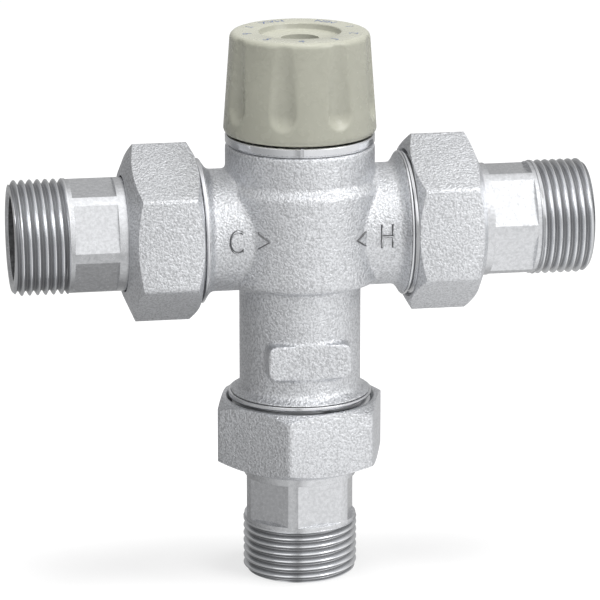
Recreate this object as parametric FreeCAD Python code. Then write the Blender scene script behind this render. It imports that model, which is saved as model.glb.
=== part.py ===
"""Thermostatic mixing valve with three union connections, for pipe with a 3/4 inch thread.

The cold inlet is on the left (-X), the hot inlet on the right (+X) and the mixed water outlet below.
A knob turns a spindle, which raises or lowers a lifter. The lifter carries the pin of a wax element,
and the element carries a shutter that slides between an upper, cold seat and a lower, hot seat.
Each inlet has a check valve and a strainer, and each port ends in a nut, a gasket and a tail.

Millimetres, +Z up. The origin is the centre of the outlet tail's end, on which the valve can stand.
"""
import FreeCAD
import Part
import math
import os

Vector = FreeCAD.Vector

# ---------------------------------------------------------------- driving sizes

# Pipe tail
PIPE_THREAD_RADIUS = 13.22
PIPE_THREAD_LENGTH = 12.6
PIPE_THREAD_CHAMFER = 1.0
TAIL_LENGTH = 31.6
TAIL_RADIUS = 13.0
TAIL_BORE_RADIUS = 10.0
TAIL_BORE_CHAMFER = 0.6
TAIL_FLATS_WIDTH = 24.0
TAIL_FLATS_LENGTH = 10.0
TAIL_FLATS_TO_THREAD = 0.9
TAIL_COLLAR_PLAY = 1.0
TAIL_COLLAR_THICKNESS = 3.0
OUTLET_TAIL_TURN = 16.5

# Union nut
UNION_THREAD_RADIUS = 16.6
UNION_THREAD_PLAY = 0.06
NUT_WALL = 1.4
NUT_LENGTH = 17.7
NUT_CORNER_ROUND = 1.2
NUT_SHOULDER = 2.9
NUT_COLLAR_GAP = 0.1
NUT_NECK_PLAY = 0.3
NUT_MOUTH_CHAMFER = 0.5
NUT_INNER_CHAMFER_ANGLE = 22.0
NUT_OUTER_CHAMFER_ANGLE = 29.0
NUT_LIP = 1.0
INLET_NUT_TURN = 33.0
OUTLET_NUT_TURN = 16.0

# Gasket
GASKET_THICKNESS = 2.0
GASKET_PLAY = 1.2
GASKET_HOLE_PLAY = 0.4

# Body casting, outside
BODY_TOP_HEIGHT = 19.8
BODY_TOP_RADIUS = 17.15
BODY_TOP_CHAMFER = 0.4
BULGE_STANDOUT = 1.65
BULGE_TOP = 10.9
BULGE_SHOULDER = 1.1
BULGE_BOTTOM = -11.5
BULGE_UNDERCUT = 2.8
BULGE_EDGE_ROUND = 1.2
NECK_RADIUS = 14.05
NECK_STRAIGHT = 1.3
NECK_BLEND = 1.5
STEM_RADIUS = 14.0
STEM_STRAIGHT = 3.1
PORT_FLARE_LENGTH = 2.2
PORT_COLLAR_LENGTH = 0.4
PORT_THREAD_LENGTH = 10.4
PORT_THREAD_RELIEF = 0.5
PORT_RELIEF_DEPTH = 0.7
PAD_WIDTH = 18.9
PAD_HEIGHT = 8.1
PAD_DROP = 32.5
PAD_STANDOUT = 0.15
PAD_CORNER_ROUND = 1.8

# Body casting, inside
RIM_WALL = 2.55
BULGE_WALL = 3.2
CHAMBER_INNER = 2.0
CHAMBER_OUTER = 10.5
NECK_BORE_RADIUS = 11.0
NECK_STOP_LEDGE = 1.4
INLET_WINDOW_WIDTH = 16.0
OUTLET_BORE_RADIUS = 11.1

# Bonnet, the polished ring and plug that close the top of the body
BONNET_RING_HEIGHT = 1.9
BONNET_RING_GROOVE = 0.3
BONNET_RING_GROOVE_DEPTH = 0.6
BONNET_RING_CHAMFER = 0.25
BONNET_THREAD_LENGTH = 6.5
BONNET_THREAD_PLAY = 0.05
BONNET_SEAL_LAND = 2.5
BONNET_BOSS_RADIUS = 7.6
BONNET_BOSS_HEIGHT = 8.0
BONNET_CEILING_DEPTH = 3.0
BONNET_SKIRT_RELIEF = 2.4
INDEX_NOTCH_WIDTH = 0.6
INDEX_NOTCH_DEPTH = 0.35
INDEX_NOTCH_TURN = -98.0

# Seals of round section
SEAL_SECTION = 1.5
SEAL_GROOVE_WIDTH = 1.8
SEAL_PLAY = 0.04

# Spindle and the clip that keeps it in the bonnet
SPINDLE_RADIUS = 4.5
SPINDLE_PLAY = 0.06
SPINDLE_FLANGE_RADIUS = 5.8
SPINDLE_FLANGE_THICKNESS = 1.0
SPINDLE_SCREW_RADIUS = 4.2
SPINDLE_SCREW_LENGTH = 3.5
SPINDLE_SEAL_RISE = 1.5
SPINDLE_SEAL_SPACING = 3.0
SPLINE_COUNT = 18
SPLINE_DEPTH = 0.35
SPLINE_PLAY = 0.1
CLIP_THICKNESS = 0.8
CLIP_WIDTH = 1.8
CLIP_GROOVE_DEPTH = 0.8
CLIP_GAP_ANGLE = 40.0

# Lifter, the plate that bears on the element's pin, and the spring behind the plate
LIFTER_RADIUS = 6.8
LIFTER_FLATS_WIDTH = 12.2
LIFTER_LENGTH = 8.8
LIFTER_PLAY = 0.1
LIFTER_HEADROOM = 1.4
LIFTER_SCREW_PLAY = 0.06
LIFTER_TOP_THICKNESS = 3.4
LIFTER_CAVITY_RADIUS = 5.1
PLATE_THICKNESS = 1.0
PLATE_PLAY = 0.1
OVERTRAVEL_SPRING_RADIUS = 4.2
OVERTRAVEL_SPRING_WIRE = 0.35
OVERTRAVEL_SPRING_TURNS = 2.5

# Wax element and its pin
PIN_RADIUS = 1.5
PIN_PLAY = 0.05
PIN_LENGTH = 12.0
PIN_BORE_SPARE = 2.6
ELEMENT_GUIDE_RADIUS = 2.9
ELEMENT_GUIDE_GAP = 2.94
ELEMENT_THREAD_RADIUS = 3.2
ELEMENT_COLLAR_RADIUS = 5.4
ELEMENT_COLLAR_THICKNESS = 1.6
ELEMENT_CUP_RADIUS = 4.7
ELEMENT_CUP_LENGTH = 24.0
ELEMENT_CUP_ROUND = 1.5
ELEMENT_PLAY = 0.05
ELEMENT_NUT_WIDTH = 7.4
ELEMENT_NUT_THICKNESS = 2.0

# Shutter, its two seats and its spring
SHUTTER_RADIUS = 10.0
SHUTTER_PLAY = 0.08
SHUTTER_HALF_LENGTH = 6.9
SHUTTER_WALL = 1.5
SHUTTER_WEB_THICKNESS = 2.4
SHUTTER_HOLE_RADIUS = 1.1
SHUTTER_HOLE_CIRCLE = 5.75
SHUTTER_HOLE_COUNT = 10
SHUTTER_STROKE = 1.6
SHUTTER_SEAT_PLAY = 0.3
SEAT_INNER_RADIUS = 8.6
SEAT_SLEEVE_LENGTH = 13.5
SEAT_SLEEVE_PLAY = 0.05
SEAT_FLOOR_THICKNESS = 1.6
SEAT_FLOOR_HOLE_RADIUS = 6.4
RETURN_SPRING_WIRE = 0.5
RETURN_SPRING_RADIUS = 7.55
RETURN_SPRING_TURNS = 5.0

# Knob
KNOB_GAP = 0.3
KNOB_HEIGHT = 23.4
KNOB_OVERHANG = 0.35
KNOB_TAPER = 1.5
KNOB_BASE_ROUND = 1.3
KNOB_TOP_ROUND = 1.4
KNOB_WALL = 2.3
KNOB_CAVITY_DEPTH = 17.5
KNOB_HUB_RADIUS = 7.0
KNOB_HUB_GAP = 0.54
KNOB_WEB_THICKNESS = 1.9
KNOB_DISH_RADIUS = 9.3
KNOB_DISH_DEPTH = 1.5
KNOB_PIT_RADIUS = 4.2
KNOB_PIT_DEPTH = 3.2
KNOB_SOCKET_SPARE = 0.3
FLUTE_COUNT = 8
FLUTE_CUTTER_RADIUS = 5.0
FLUTE_CENTRE_STANDOFF = 4.7
FLUTE_FOOT = 7.3
FLUTE_FIRST_TURN = -67.5
SCREW_HEAD_RADIUS = 3.3
SCREW_HEAD_HEIGHT = 2.2
SCREW_HEAD_DOME = 1.0
SCREW_SHANK_RADIUS = 1.95
SCREW_LENGTH = 9.0
SCREW_PLAY = 0.1
SCREW_SLOT_WIDTH = 0.9
SCREW_SLOT_DEPTH = 1.1
SCREW_SLOT_TURN = 20.0

# Check valve cartridge
CHECK_PLAY = 0.08
CHECK_WALL = 1.9
CHECK_LENGTH = 12.0
CHECK_FLANGE_RADIUS = 12.2
CHECK_FLANGE_THICKNESS = 1.4
CHECK_SEAT_RADIUS = 6.4
CHECK_SEAT_THICKNESS = 1.7
CHECK_SPIDER_THICKNESS = 2.0
CHECK_SPIDER_ARM = 2.0
CHECK_SPIDER_ARMS = 4
CHECK_BOSS_RADIUS = 3.8
CHECK_SEAT_GAP = 0.1
POPPET_RADIUS = 7.6
POPPET_THICKNESS = 1.2
POPPET_SEAL_THICKNESS = 0.7
POPPET_STEM_RADIUS = 1.3
POPPET_STEM_LENGTH = 8.0
POPPET_STEM_PLAY = 0.08
CHECK_SPRING_RADIUS = 3.2
CHECK_SPRING_WIRE = 0.25
CHECK_SPRING_TURNS = 3.5

# Strainer basket
STRAINER_RIM_THICKNESS = 0.6
STRAINER_RADIUS = 8.8
STRAINER_WALL = 0.5
STRAINER_LENGTH = 12.0
STRAINER_SLOT_COUNT = 14
STRAINER_SLOT_WIDTH = 1.9
STRAINER_SLOT_MARGIN = 1.6

# ---------------------------------------------------------------- places worked out from the sizes

# Outside of the casting and the distances from the crossing of the port axes
BULGE_RADIUS = BODY_TOP_RADIUS + BULGE_STANDOUT
PORT_ROOM = PORT_FLARE_LENGTH + PORT_COLLAR_LENGTH + PORT_THREAD_LENGTH
INLET_FACE = BULGE_RADIUS + NECK_STRAIGHT + PORT_ROOM
OUTLET_FACE = PAD_DROP + STEM_STRAIGHT + PORT_ROOM
INLET_REACH = INLET_FACE + GASKET_THICKNESS + TAIL_LENGTH
OUTLET_REACH = OUTLET_FACE + GASKET_THICKNESS + TAIL_LENGTH
AXIS_HEIGHT = OUTLET_REACH
PAD_FACE = STEM_RADIUS + PAD_STANDOUT

# Union
NUT_WIDTH = 2 * (UNION_THREAD_RADIUS + NUT_WALL)
NUT_INNER_FACE_RADIUS = NUT_WIDTH / 2
NUT_OUTER_FACE_RADIUS = TAIL_RADIUS + NUT_NECK_PLAY + NUT_LIP
TAIL_COLLAR_RADIUS = UNION_THREAD_RADIUS - TAIL_COLLAR_PLAY
GASKET_RADIUS = UNION_THREAD_RADIUS - GASKET_PLAY
GASKET_HOLE_RADIUS = TAIL_BORE_RADIUS + GASKET_HOLE_PLAY

# Inside of the casting
BONNET_THREAD_RADIUS = BODY_TOP_RADIUS - RIM_WALL
CHAMBER_RADIUS = BULGE_RADIUS - BULGE_WALL
NECK_BORE_STOP = CHAMBER_RADIUS + NECK_STOP_LEDGE

# Stack of bonnet, spindle, lifter and knob
SEAT_HEIGHT = SHUTTER_HALF_LENGTH + SHUTTER_STROKE + SHUTTER_SEAT_PLAY
RING_TOP = BODY_TOP_HEIGHT + BONNET_RING_GROOVE + BONNET_RING_HEIGHT
PLUG_BASE = BODY_TOP_HEIGHT - BONNET_THREAD_LENGTH
LAND_BASE = PLUG_BASE - BONNET_SEAL_LAND
BONNET_SKIRT_RADIUS = BONNET_THREAD_RADIUS - BONNET_SKIRT_RELIEF
BONNET_CEILING = RING_TOP - BONNET_CEILING_DEPTH
BONNET_BOSS_TOP = RING_TOP + BONNET_BOSS_HEIGHT
KNOB_BASE = RING_TOP + KNOB_GAP
KNOB_TOP = KNOB_BASE + KNOB_HEIGHT
PIT_FLOOR = KNOB_TOP - KNOB_DISH_DEPTH - KNOB_PIT_DEPTH
SPINDLE_TOP = PIT_FLOOR - KNOB_WEB_THICKNESS - KNOB_SOCKET_SPARE
SPINDLE_SEAL_LOWER = RING_TOP + SPINDLE_SEAL_RISE
SPINDLE_SEAL_HEIGHTS = (SPINDLE_SEAL_LOWER, SPINDLE_SEAL_LOWER + SPINDLE_SEAL_SPACING)
KNOB_BASE_RADIUS = BODY_TOP_RADIUS + KNOB_OVERHANG
KNOB_TOP_RADIUS = KNOB_BASE_RADIUS - KNOB_TAPER
FLUTE_CENTRE_DISTANCE = KNOB_TOP_RADIUS + FLUTE_CENTRE_STANDOFF
KNOB_CAVITY_RADIUS = FLUTE_CENTRE_DISTANCE - FLUTE_CUTTER_RADIUS - KNOB_WALL
FLANGE_BASE = BONNET_CEILING - SPINDLE_PLAY - SPINDLE_FLANGE_THICKNESS
LIFTER_TOP = FLANGE_BASE - LIFTER_HEADROOM
LIFTER_BASE = LIFTER_TOP - LIFTER_LENGTH
LIFTER_CAVITY_TOP = LIFTER_TOP - LIFTER_TOP_THICKNESS
PLATE_BASE = LIFTER_BASE + 1.5 * CLIP_THICKNESS
ELEMENT_GUIDE_TOP = PLATE_BASE - ELEMENT_GUIDE_GAP
SPINDLE_CLIP_BASE = BONNET_BOSS_TOP + SPINDLE_PLAY
KNOB_HUB_BASE = SPINDLE_CLIP_BASE + CLIP_THICKNESS + KNOB_HUB_GAP
SLEEVE_BASE = -SEAT_HEIGHT - SEAT_SLEEVE_LENGTH
WEB_HALF = SHUTTER_WEB_THICKNESS / 2
SEAL_RADIUS = SEAL_SECTION / 2
CARTRIDGE_DEPTH = STRAINER_RIM_THICKNESS + CHECK_FLANGE_THICKNESS


# ---------------------------------------------------------------- drawing helpers

def rounded_outline(corners):
    """Closed wire in the XZ plane through corners (x, z) or (x, z, rounding radius)."""
    count = len(corners)
    places = [Vector(c[0], 0, c[1]) for c in corners]
    rounds = [c[2] if len(c) > 2 else 0.0 for c in corners]
    starts, ends, arcs = [], [], []
    for i, corner in enumerate(places):
        before = (places[i - 1] - corner).normalize()
        after = (places[(i + 1) % count] - corner).normalize()
        if rounds[i] == 0:
            starts.append(corner)
            ends.append(corner)
            arcs.append(None)
            continue
        half_angle = before.getAngle(after) / 2
        setback = rounds[i] / math.tan(half_angle)
        bisector = (before + after).normalize()
        centre = corner + bisector * (rounds[i] / math.sin(half_angle))
        starts.append(corner + before * setback)
        ends.append(corner + after * setback)
        arcs.append(Part.Arc(starts[i], centre - bisector * rounds[i], ends[i]))
    edges = []
    for i in range(count):
        if arcs[i]:
            edges.append(arcs[i].toShape())
        following = starts[(i + 1) % count]
        if ends[i].distanceToPoint(following) > 1e-6:
            edges.append(Part.LineSegment(ends[i], following).toShape())
    return Part.Wire(edges)


def turned(corners):
    """Solid of revolution about Z from an outline of (radius, height) corners."""
    face = Part.Face(rounded_outline(corners))
    return face.revolve(Vector(0, 0, 0), Vector(0, 0, 1), 360)


def ring(inner, outer, low, high):
    """Flat-ended ring about Z."""
    return turned([(inner, low), (outer, low), (outer, high), (inner, high)])


def disc(radius, low, high):
    """Cylinder about Z between two heights."""
    return Part.makeCylinder(radius, high - low, Vector(0, 0, low))


def block(low, high):
    """Box between two corners."""
    size = Vector(*high) - Vector(*low)
    return Part.makeBox(size.x, size.y, size.z, Vector(*low))


def prism(corner_radius, sides, low, high, first_angle=0.0):
    """Regular prism about Z with one corner at first_angle."""
    points = []
    for i in range(sides + 1):
        angle = math.radians(first_angle + 360.0 * i / sides)
        points.append(Vector(corner_radius * math.cos(angle), corner_radius * math.sin(angle), low))
    return Part.Face(Part.makePolygon(points)).extrude(Vector(0, 0, high - low))


def seal_groove(bottom_radius, height):
    """Cutter for the groove of a round seal; it is wider than any shaft here."""
    half = SEAL_GROOVE_WIDTH / 2
    return ring(bottom_radius, bottom_radius + 3, height - half, height + half)


def seal_in_bore(bore_radius, height):
    """Rubber ring about Z that reaches almost to the bore it seals, and so does not overlap it."""
    return Part.makeTorus(bore_radius - SEAL_PLAY - SEAL_RADIUS, SEAL_RADIUS, Vector(0, 0, height))


def groove_for_bore(bore_radius, height):
    return seal_groove(bore_radius - SEAL_SECTION - 2 * SEAL_PLAY, height)


def snap_ring(inner, low):
    """Open spring clip about Z."""
    whole = ring(inner, inner + CLIP_WIDTH, low, low + CLIP_THICKNESS)
    half = inner * math.tan(math.radians(CLIP_GAP_ANGLE / 2))
    return whole.cut(block((0, -half, low - 1), (inner + CLIP_WIDTH + 1, half, low + CLIP_THICKNESS + 1)))


def coil(mean_radius, wire_radius, low, high, turns):
    """Round-wire compression spring about Z that fills the space between two heights."""
    pitch = (high - low - 2 * wire_radius) / turns
    helix = Part.makeHelix(pitch, pitch * turns, mean_radius)
    helix.translate(Vector(0, 0, low + wire_radius))
    rise = pitch / (2 * math.pi * mean_radius)
    start = Vector(mean_radius, 0, low + wire_radius)
    section = Part.Wire(Part.makeCircle(wire_radius, start, Vector(0, 1, rise)))
    return Part.Wire(helix.Edges).makePipeShell([section], True, True)


def turned_about(shape, angle):
    """Copy of a shape turned about Z."""
    copy = shape.copy()
    copy.rotate(Vector(0, 0, 0), Vector(0, 0, 1), angle)
    return copy


def raised(shape, height):
    """Copy of a shape moved up."""
    copy = shape.copy()
    copy.translate(Vector(0, 0, height))
    return copy


def at_port(shape, port):
    """Moves a shape from a port's own frame, with the port's axis along +Z, to its place on the valve."""
    sideways, outward = {
        "cold": (Vector(0, -1, 0), Vector(-1, 0, 0)),
        "hot": (Vector(0, 1, 0), Vector(1, 0, 0)),
        "outlet": (Vector(0, -1, 0), Vector(0, 0, -1)),
    }[port]
    turn = FreeCAD.Rotation(sideways, outward.cross(sideways), outward, "ZXY")
    copy = shape.copy()
    copy.Placement = FreeCAD.Placement(Vector(0, 0, AXIS_HEIGHT), turn).multiply(copy.Placement)
    return copy


def port_reach(port):
    return OUTLET_REACH if port == "outlet" else INLET_REACH


def port_face(port):
    """Distance from the crossing of the axes to the casting's end face at a port."""
    return OUTLET_FACE if port == "outlet" else INLET_FACE


# ---------------------------------------------------------------- body casting

def port_outside(port, radius, start):
    """Outside of a port in its own frame: neck, flare, polished collar and union thread."""
    end = port_face(port)
    thread_start = end - PORT_THREAD_LENGTH
    collar = thread_start - PORT_COLLAR_LENGTH
    relief = UNION_THREAD_RADIUS - PORT_RELIEF_DEPTH
    return turned([
        (0, start),
        (radius, start),
        (radius, collar - PORT_FLARE_LENGTH, PORT_FLARE_LENGTH / 2),
        (UNION_THREAD_RADIUS, collar),
        (UNION_THREAD_RADIUS, thread_start),
        (relief, thread_start),
        (relief, thread_start + PORT_THREAD_RELIEF),
        (UNION_THREAD_RADIUS, thread_start + PORT_THREAD_RELIEF),
        (UNION_THREAD_RADIUS, end - PORT_RELIEF_DEPTH),
        (relief, end),
        (0, end),
    ])


def body_core():
    """Outside of the casting's upright part: rim, bulge round the shutter, and stem."""
    return turned([
        (0, BODY_TOP_HEIGHT),
        (BODY_TOP_RADIUS - BODY_TOP_CHAMFER, BODY_TOP_HEIGHT),
        (BODY_TOP_RADIUS, BODY_TOP_HEIGHT - BODY_TOP_CHAMFER),
        (BODY_TOP_RADIUS, BULGE_TOP + BULGE_SHOULDER),
        (BULGE_RADIUS, BULGE_TOP, BULGE_EDGE_ROUND),
        (BULGE_RADIUS, BULGE_BOTTOM, BULGE_EDGE_ROUND),
        (STEM_RADIUS, BULGE_BOTTOM - BULGE_UNDERCUT),
        (STEM_RADIUS, -PAD_DROP),
        (0, -PAD_DROP),
    ])


def raised_pad():
    """Flat rounded rectangle that stands out of the front of the stem."""
    half = PAD_WIDTH / 2
    low = -PAD_DROP - PAD_HEIGHT / 2
    high = low + PAD_HEIGHT
    outline = rounded_outline([
        (-half, low, PAD_CORNER_ROUND),
        (half, low, PAD_CORNER_ROUND),
        (half, high, PAD_CORNER_ROUND),
        (-half, high, PAD_CORNER_ROUND),
    ])
    pad = Part.Face(outline).extrude(Vector(0, PAD_FACE / 2, 0))
    pad.translate(Vector(0, -PAD_FACE, 0))
    return pad


def blend_necks(casting):
    """Rounds the inner corners where the inlet necks meet the upright part of the casting."""
    seam = []
    for edge in casting.Edges:
        box = edge.BoundBox
        near_core = max(abs(box.XMin), abs(box.XMax)) <= BULGE_RADIUS
        on_one_side = box.XMin * box.XMax > 0
        places = edge.discretize(9)
        on_neck = all(abs(math.hypot(p.y, p.z) - NECK_RADIUS) < 0.01 for p in places)
        if near_core and on_one_side and on_neck:
            seam.append(edge)
    return casting.makeFillet(NECK_BLEND, seam)


def laid_along_x(shape):
    """The two inlet copies of a shape drawn along +Z, one to each side."""
    copies = []
    for angle in (-90, 90):
        copy = shape.copy()
        copy.rotate(Vector(0, 0, 0), Vector(0, 1, 0), angle)
        copies.append(copy)
    return copies


def waterways():
    """Everything that is hollow in the casting, in the frame of the port axes' crossing."""
    half = INLET_WINDOW_WIDTH / 2
    recess = CHECK_FLANGE_RADIUS + CHECK_PLAY
    inlet_face = port_face("cold")
    cuts = [
        disc(OUTLET_BORE_RADIUS, -port_face("outlet"), -CHAMBER_INNER),
        disc(SHUTTER_RADIUS + SHUTTER_PLAY, -CHAMBER_INNER, CHAMBER_INNER),
        disc(CHAMBER_RADIUS, CHAMBER_INNER, CHAMBER_OUTER),
        disc(CHAMBER_RADIUS, -CHAMBER_OUTER, -CHAMBER_INNER),
        disc(BONNET_THREAD_RADIUS, CHAMBER_OUTER, BODY_TOP_HEIGHT),
        block((-NECK_BORE_STOP, -half, CHAMBER_INNER), (0, half, CHAMBER_OUTER)),
        block((0, -half, -CHAMBER_OUTER), (NECK_BORE_STOP, half, -CHAMBER_INNER)),
    ]
    cuts += laid_along_x(disc(NECK_BORE_RADIUS, NECK_BORE_STOP, inlet_face))
    cuts += laid_along_x(disc(recess, inlet_face - CARTRIDGE_DEPTH, inlet_face))
    return cuts


def valve_body():
    necks = laid_along_x(port_outside("cold", NECK_RADIUS, 0))
    casting = body_core().fuse(necks).removeSplitter()
    casting = blend_necks(casting)
    stem = port_outside("outlet", STEM_RADIUS, PAD_DROP)
    stem.rotate(Vector(0, 0, 0), Vector(1, 0, 0), 180)
    casting = casting.fuse([stem, raised_pad()]).removeSplitter()
    for hollow in waterways():
        casting = casting.cut(hollow)
    return casting


# ---------------------------------------------------------------- bonnet, spindle and lifter

def flatted_bore(radius, width, low, high):
    """Cylinder about Z with two flats that face front and back."""
    flats = block((-radius, -width / 2, low), (radius, width / 2, high))
    return disc(radius, low, high).common(flats)


def bonnet():
    land = BONNET_THREAD_RADIUS - BONNET_THREAD_PLAY
    groove = BODY_TOP_RADIUS - BONNET_RING_GROOVE_DEPTH
    ring_base = BODY_TOP_HEIGHT + BONNET_RING_GROOVE
    shape = turned([
        (0, SEAT_HEIGHT),
        (BONNET_SKIRT_RADIUS, SEAT_HEIGHT),
        (BONNET_SKIRT_RADIUS, LAND_BASE),
        (land, LAND_BASE),
        (land, BODY_TOP_HEIGHT),
        (groove, BODY_TOP_HEIGHT),
        (groove, ring_base),
        (BODY_TOP_RADIUS - BONNET_RING_CHAMFER, ring_base),
        (BODY_TOP_RADIUS, ring_base + BONNET_RING_CHAMFER),
        (BODY_TOP_RADIUS, RING_TOP - BONNET_RING_CHAMFER),
        (BODY_TOP_RADIUS - BONNET_RING_CHAMFER, RING_TOP),
        (BONNET_BOSS_RADIUS, RING_TOP),
        (BONNET_BOSS_RADIUS, BONNET_BOSS_TOP),
        (0, BONNET_BOSS_TOP),
    ])
    guide = flatted_bore(
        LIFTER_RADIUS + LIFTER_PLAY, LIFTER_FLATS_WIDTH + 2 * LIFTER_PLAY, SEAT_HEIGHT, BONNET_CEILING
    )
    notch = block(
        (BODY_TOP_RADIUS - INDEX_NOTCH_DEPTH, -INDEX_NOTCH_WIDTH / 2, BODY_TOP_HEIGHT),
        (BODY_TOP_RADIUS + 1, INDEX_NOTCH_WIDTH / 2, RING_TOP),
    )
    cuts = [
        guide,
        disc(SEAT_INNER_RADIUS, SEAT_HEIGHT, LAND_BASE),
        disc(SPINDLE_RADIUS + SPINDLE_PLAY, BONNET_CEILING, BONNET_BOSS_TOP),
        groove_for_bore(BONNET_THREAD_RADIUS, (PLUG_BASE + LAND_BASE) / 2),
        turned_about(notch, INDEX_NOTCH_TURN),
    ]
    for cut in cuts:
        shape = shape.cut(cut)
    return shape


def bonnet_seal():
    return seal_in_bore(BONNET_THREAD_RADIUS, (PLUG_BASE + LAND_BASE) / 2)


def spline(radius, low, high):
    """Shaft about Z with round grooves all along it."""
    shape = disc(radius, low, high)
    groove = Part.makeCylinder(SPLINE_DEPTH, high - low, Vector(radius, 0, low))
    for i in range(SPLINE_COUNT):
        shape = shape.cut(turned_about(groove, 360.0 * i / SPLINE_COUNT))
    return shape


def spindle():
    hub_start = KNOB_HUB_BASE - KNOB_SOCKET_SPARE
    screw_base = FLANGE_BASE - SPINDLE_SCREW_LENGTH
    shape = disc(SPINDLE_SCREW_RADIUS, screw_base, FLANGE_BASE)
    shape = shape.fuse([
        disc(SPINDLE_FLANGE_RADIUS, FLANGE_BASE, FLANGE_BASE + SPINDLE_FLANGE_THICKNESS),
        disc(SPINDLE_RADIUS, FLANGE_BASE + SPINDLE_FLANGE_THICKNESS, hub_start),
        spline(SPINDLE_RADIUS, hub_start, SPINDLE_TOP),
    ]).removeSplitter()
    shape = shape.cut(disc(SCREW_SHANK_RADIUS + SCREW_PLAY / 2, PIT_FLOOR - SCREW_LENGTH - 1, SPINDLE_TOP))
    for height in SPINDLE_SEAL_HEIGHTS:
        shape = shape.cut(groove_for_bore(SPINDLE_RADIUS + SPINDLE_PLAY, height))
    groove = ring(
        SPINDLE_RADIUS - CLIP_GROOVE_DEPTH, SPINDLE_RADIUS + 1,
        SPINDLE_CLIP_BASE, SPINDLE_CLIP_BASE + CLIP_THICKNESS,
    )
    return shape.cut(groove)


def spindle_seal(number):
    return seal_in_bore(SPINDLE_RADIUS + SPINDLE_PLAY, SPINDLE_SEAL_HEIGHTS[number])


def spindle_clip():
    return snap_ring(SPINDLE_RADIUS - CLIP_GROOVE_DEPTH, SPINDLE_CLIP_BASE)


def lifter_clip_inner():
    return LIFTER_CAVITY_RADIUS + CLIP_GROOVE_DEPTH - CLIP_WIDTH


def lifter():
    """Cup with two flats that the spindle's screw raises and lowers."""
    shape = flatted_bore(LIFTER_RADIUS, LIFTER_FLATS_WIDTH, LIFTER_BASE, LIFTER_TOP)
    clip_low = LIFTER_BASE + CLIP_THICKNESS / 2
    cuts = [
        disc(SPINDLE_SCREW_RADIUS + LIFTER_SCREW_PLAY, LIFTER_CAVITY_TOP, LIFTER_TOP),
        disc(LIFTER_CAVITY_RADIUS, LIFTER_BASE, LIFTER_CAVITY_TOP),
        disc(LIFTER_CAVITY_RADIUS + CLIP_GROOVE_DEPTH, clip_low, clip_low + CLIP_THICKNESS),
    ]
    for cut in cuts:
        shape = shape.cut(cut)
    return shape


def lifter_clip():
    return snap_ring(lifter_clip_inner(), LIFTER_BASE + CLIP_THICKNESS / 2)


def bearing_plate():
    radius = LIFTER_CAVITY_RADIUS - PLATE_PLAY
    return disc(radius, PLATE_BASE, PLATE_BASE + PLATE_THICKNESS)


def overtravel_spring():
    return coil(
        OVERTRAVEL_SPRING_RADIUS, OVERTRAVEL_SPRING_WIRE,
        PLATE_BASE + PLATE_THICKNESS, LIFTER_CAVITY_TOP, OVERTRAVEL_SPRING_TURNS,
    )


# ---------------------------------------------------------------- wax element and shutter

def element_pin():
    return disc(PIN_RADIUS, PLATE_BASE - PIN_LENGTH, PLATE_BASE)


def wax_element():
    cup_base = -WEB_HALF - ELEMENT_COLLAR_THICKNESS - ELEMENT_CUP_LENGTH
    nut_top = WEB_HALF + ELEMENT_NUT_THICKNESS
    shape = turned([
        (0, cup_base),
        (ELEMENT_CUP_RADIUS, cup_base, ELEMENT_CUP_ROUND),
        (ELEMENT_CUP_RADIUS, -WEB_HALF - ELEMENT_COLLAR_THICKNESS),
        (ELEMENT_COLLAR_RADIUS, -WEB_HALF - ELEMENT_COLLAR_THICKNESS),
        (ELEMENT_COLLAR_RADIUS, -WEB_HALF),
        (ELEMENT_THREAD_RADIUS, -WEB_HALF),
        (ELEMENT_THREAD_RADIUS, nut_top),
        (ELEMENT_GUIDE_RADIUS, nut_top),
        (ELEMENT_GUIDE_RADIUS, ELEMENT_GUIDE_TOP),
        (0, ELEMENT_GUIDE_TOP),
    ])
    bore_base = PLATE_BASE - PIN_LENGTH - PIN_BORE_SPARE
    return shape.cut(disc(PIN_RADIUS + PIN_PLAY, bore_base, ELEMENT_GUIDE_TOP))


def element_nut():
    corner = ELEMENT_NUT_WIDTH / math.sqrt(3)
    nut = prism(corner, 6, WEB_HALF, WEB_HALF + ELEMENT_NUT_THICKNESS)
    return nut.cut(disc(ELEMENT_THREAD_RADIUS + ELEMENT_PLAY, 0, WEB_HALF + ELEMENT_NUT_THICKNESS + 1))


def shutter():
    """Sliding tube whose upper rim closes on the cold seat and lower rim on the hot seat."""
    inner = SHUTTER_RADIUS - SHUTTER_WALL
    shape = ring(inner, SHUTTER_RADIUS, -SHUTTER_HALF_LENGTH, SHUTTER_HALF_LENGTH)
    shape = shape.fuse(ring(ELEMENT_THREAD_RADIUS + ELEMENT_PLAY, inner, -WEB_HALF, WEB_HALF))
    shape = shape.removeSplitter()
    hole = Part.makeCylinder(
        SHUTTER_HOLE_RADIUS, SHUTTER_WEB_THICKNESS, Vector(SHUTTER_HOLE_CIRCLE, 0, -WEB_HALF)
    )
    for i in range(SHUTTER_HOLE_COUNT):
        shape = shape.cut(turned_about(hole, 360.0 * i / SHUTTER_HOLE_COUNT))
    return shape.cut(groove_for_bore(SHUTTER_RADIUS + SHUTTER_PLAY, 0))


def shutter_seal():
    return seal_in_bore(SHUTTER_RADIUS + SHUTTER_PLAY, 0)


def hot_seat():
    """Sleeve screwed up the stem; its top is the hot seat and its floor holds the return spring."""
    outer = OUTLET_BORE_RADIUS - SEAT_SLEEVE_PLAY
    floor_top = SLEEVE_BASE + SEAT_FLOOR_THICKNESS
    return turned([
        (SEAT_FLOOR_HOLE_RADIUS, SLEEVE_BASE),
        (outer, SLEEVE_BASE),
        (outer, -SEAT_HEIGHT),
        (SEAT_INNER_RADIUS, -SEAT_HEIGHT),
        (SEAT_INNER_RADIUS, floor_top),
        (SEAT_FLOOR_HOLE_RADIUS, floor_top),
    ])


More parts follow.
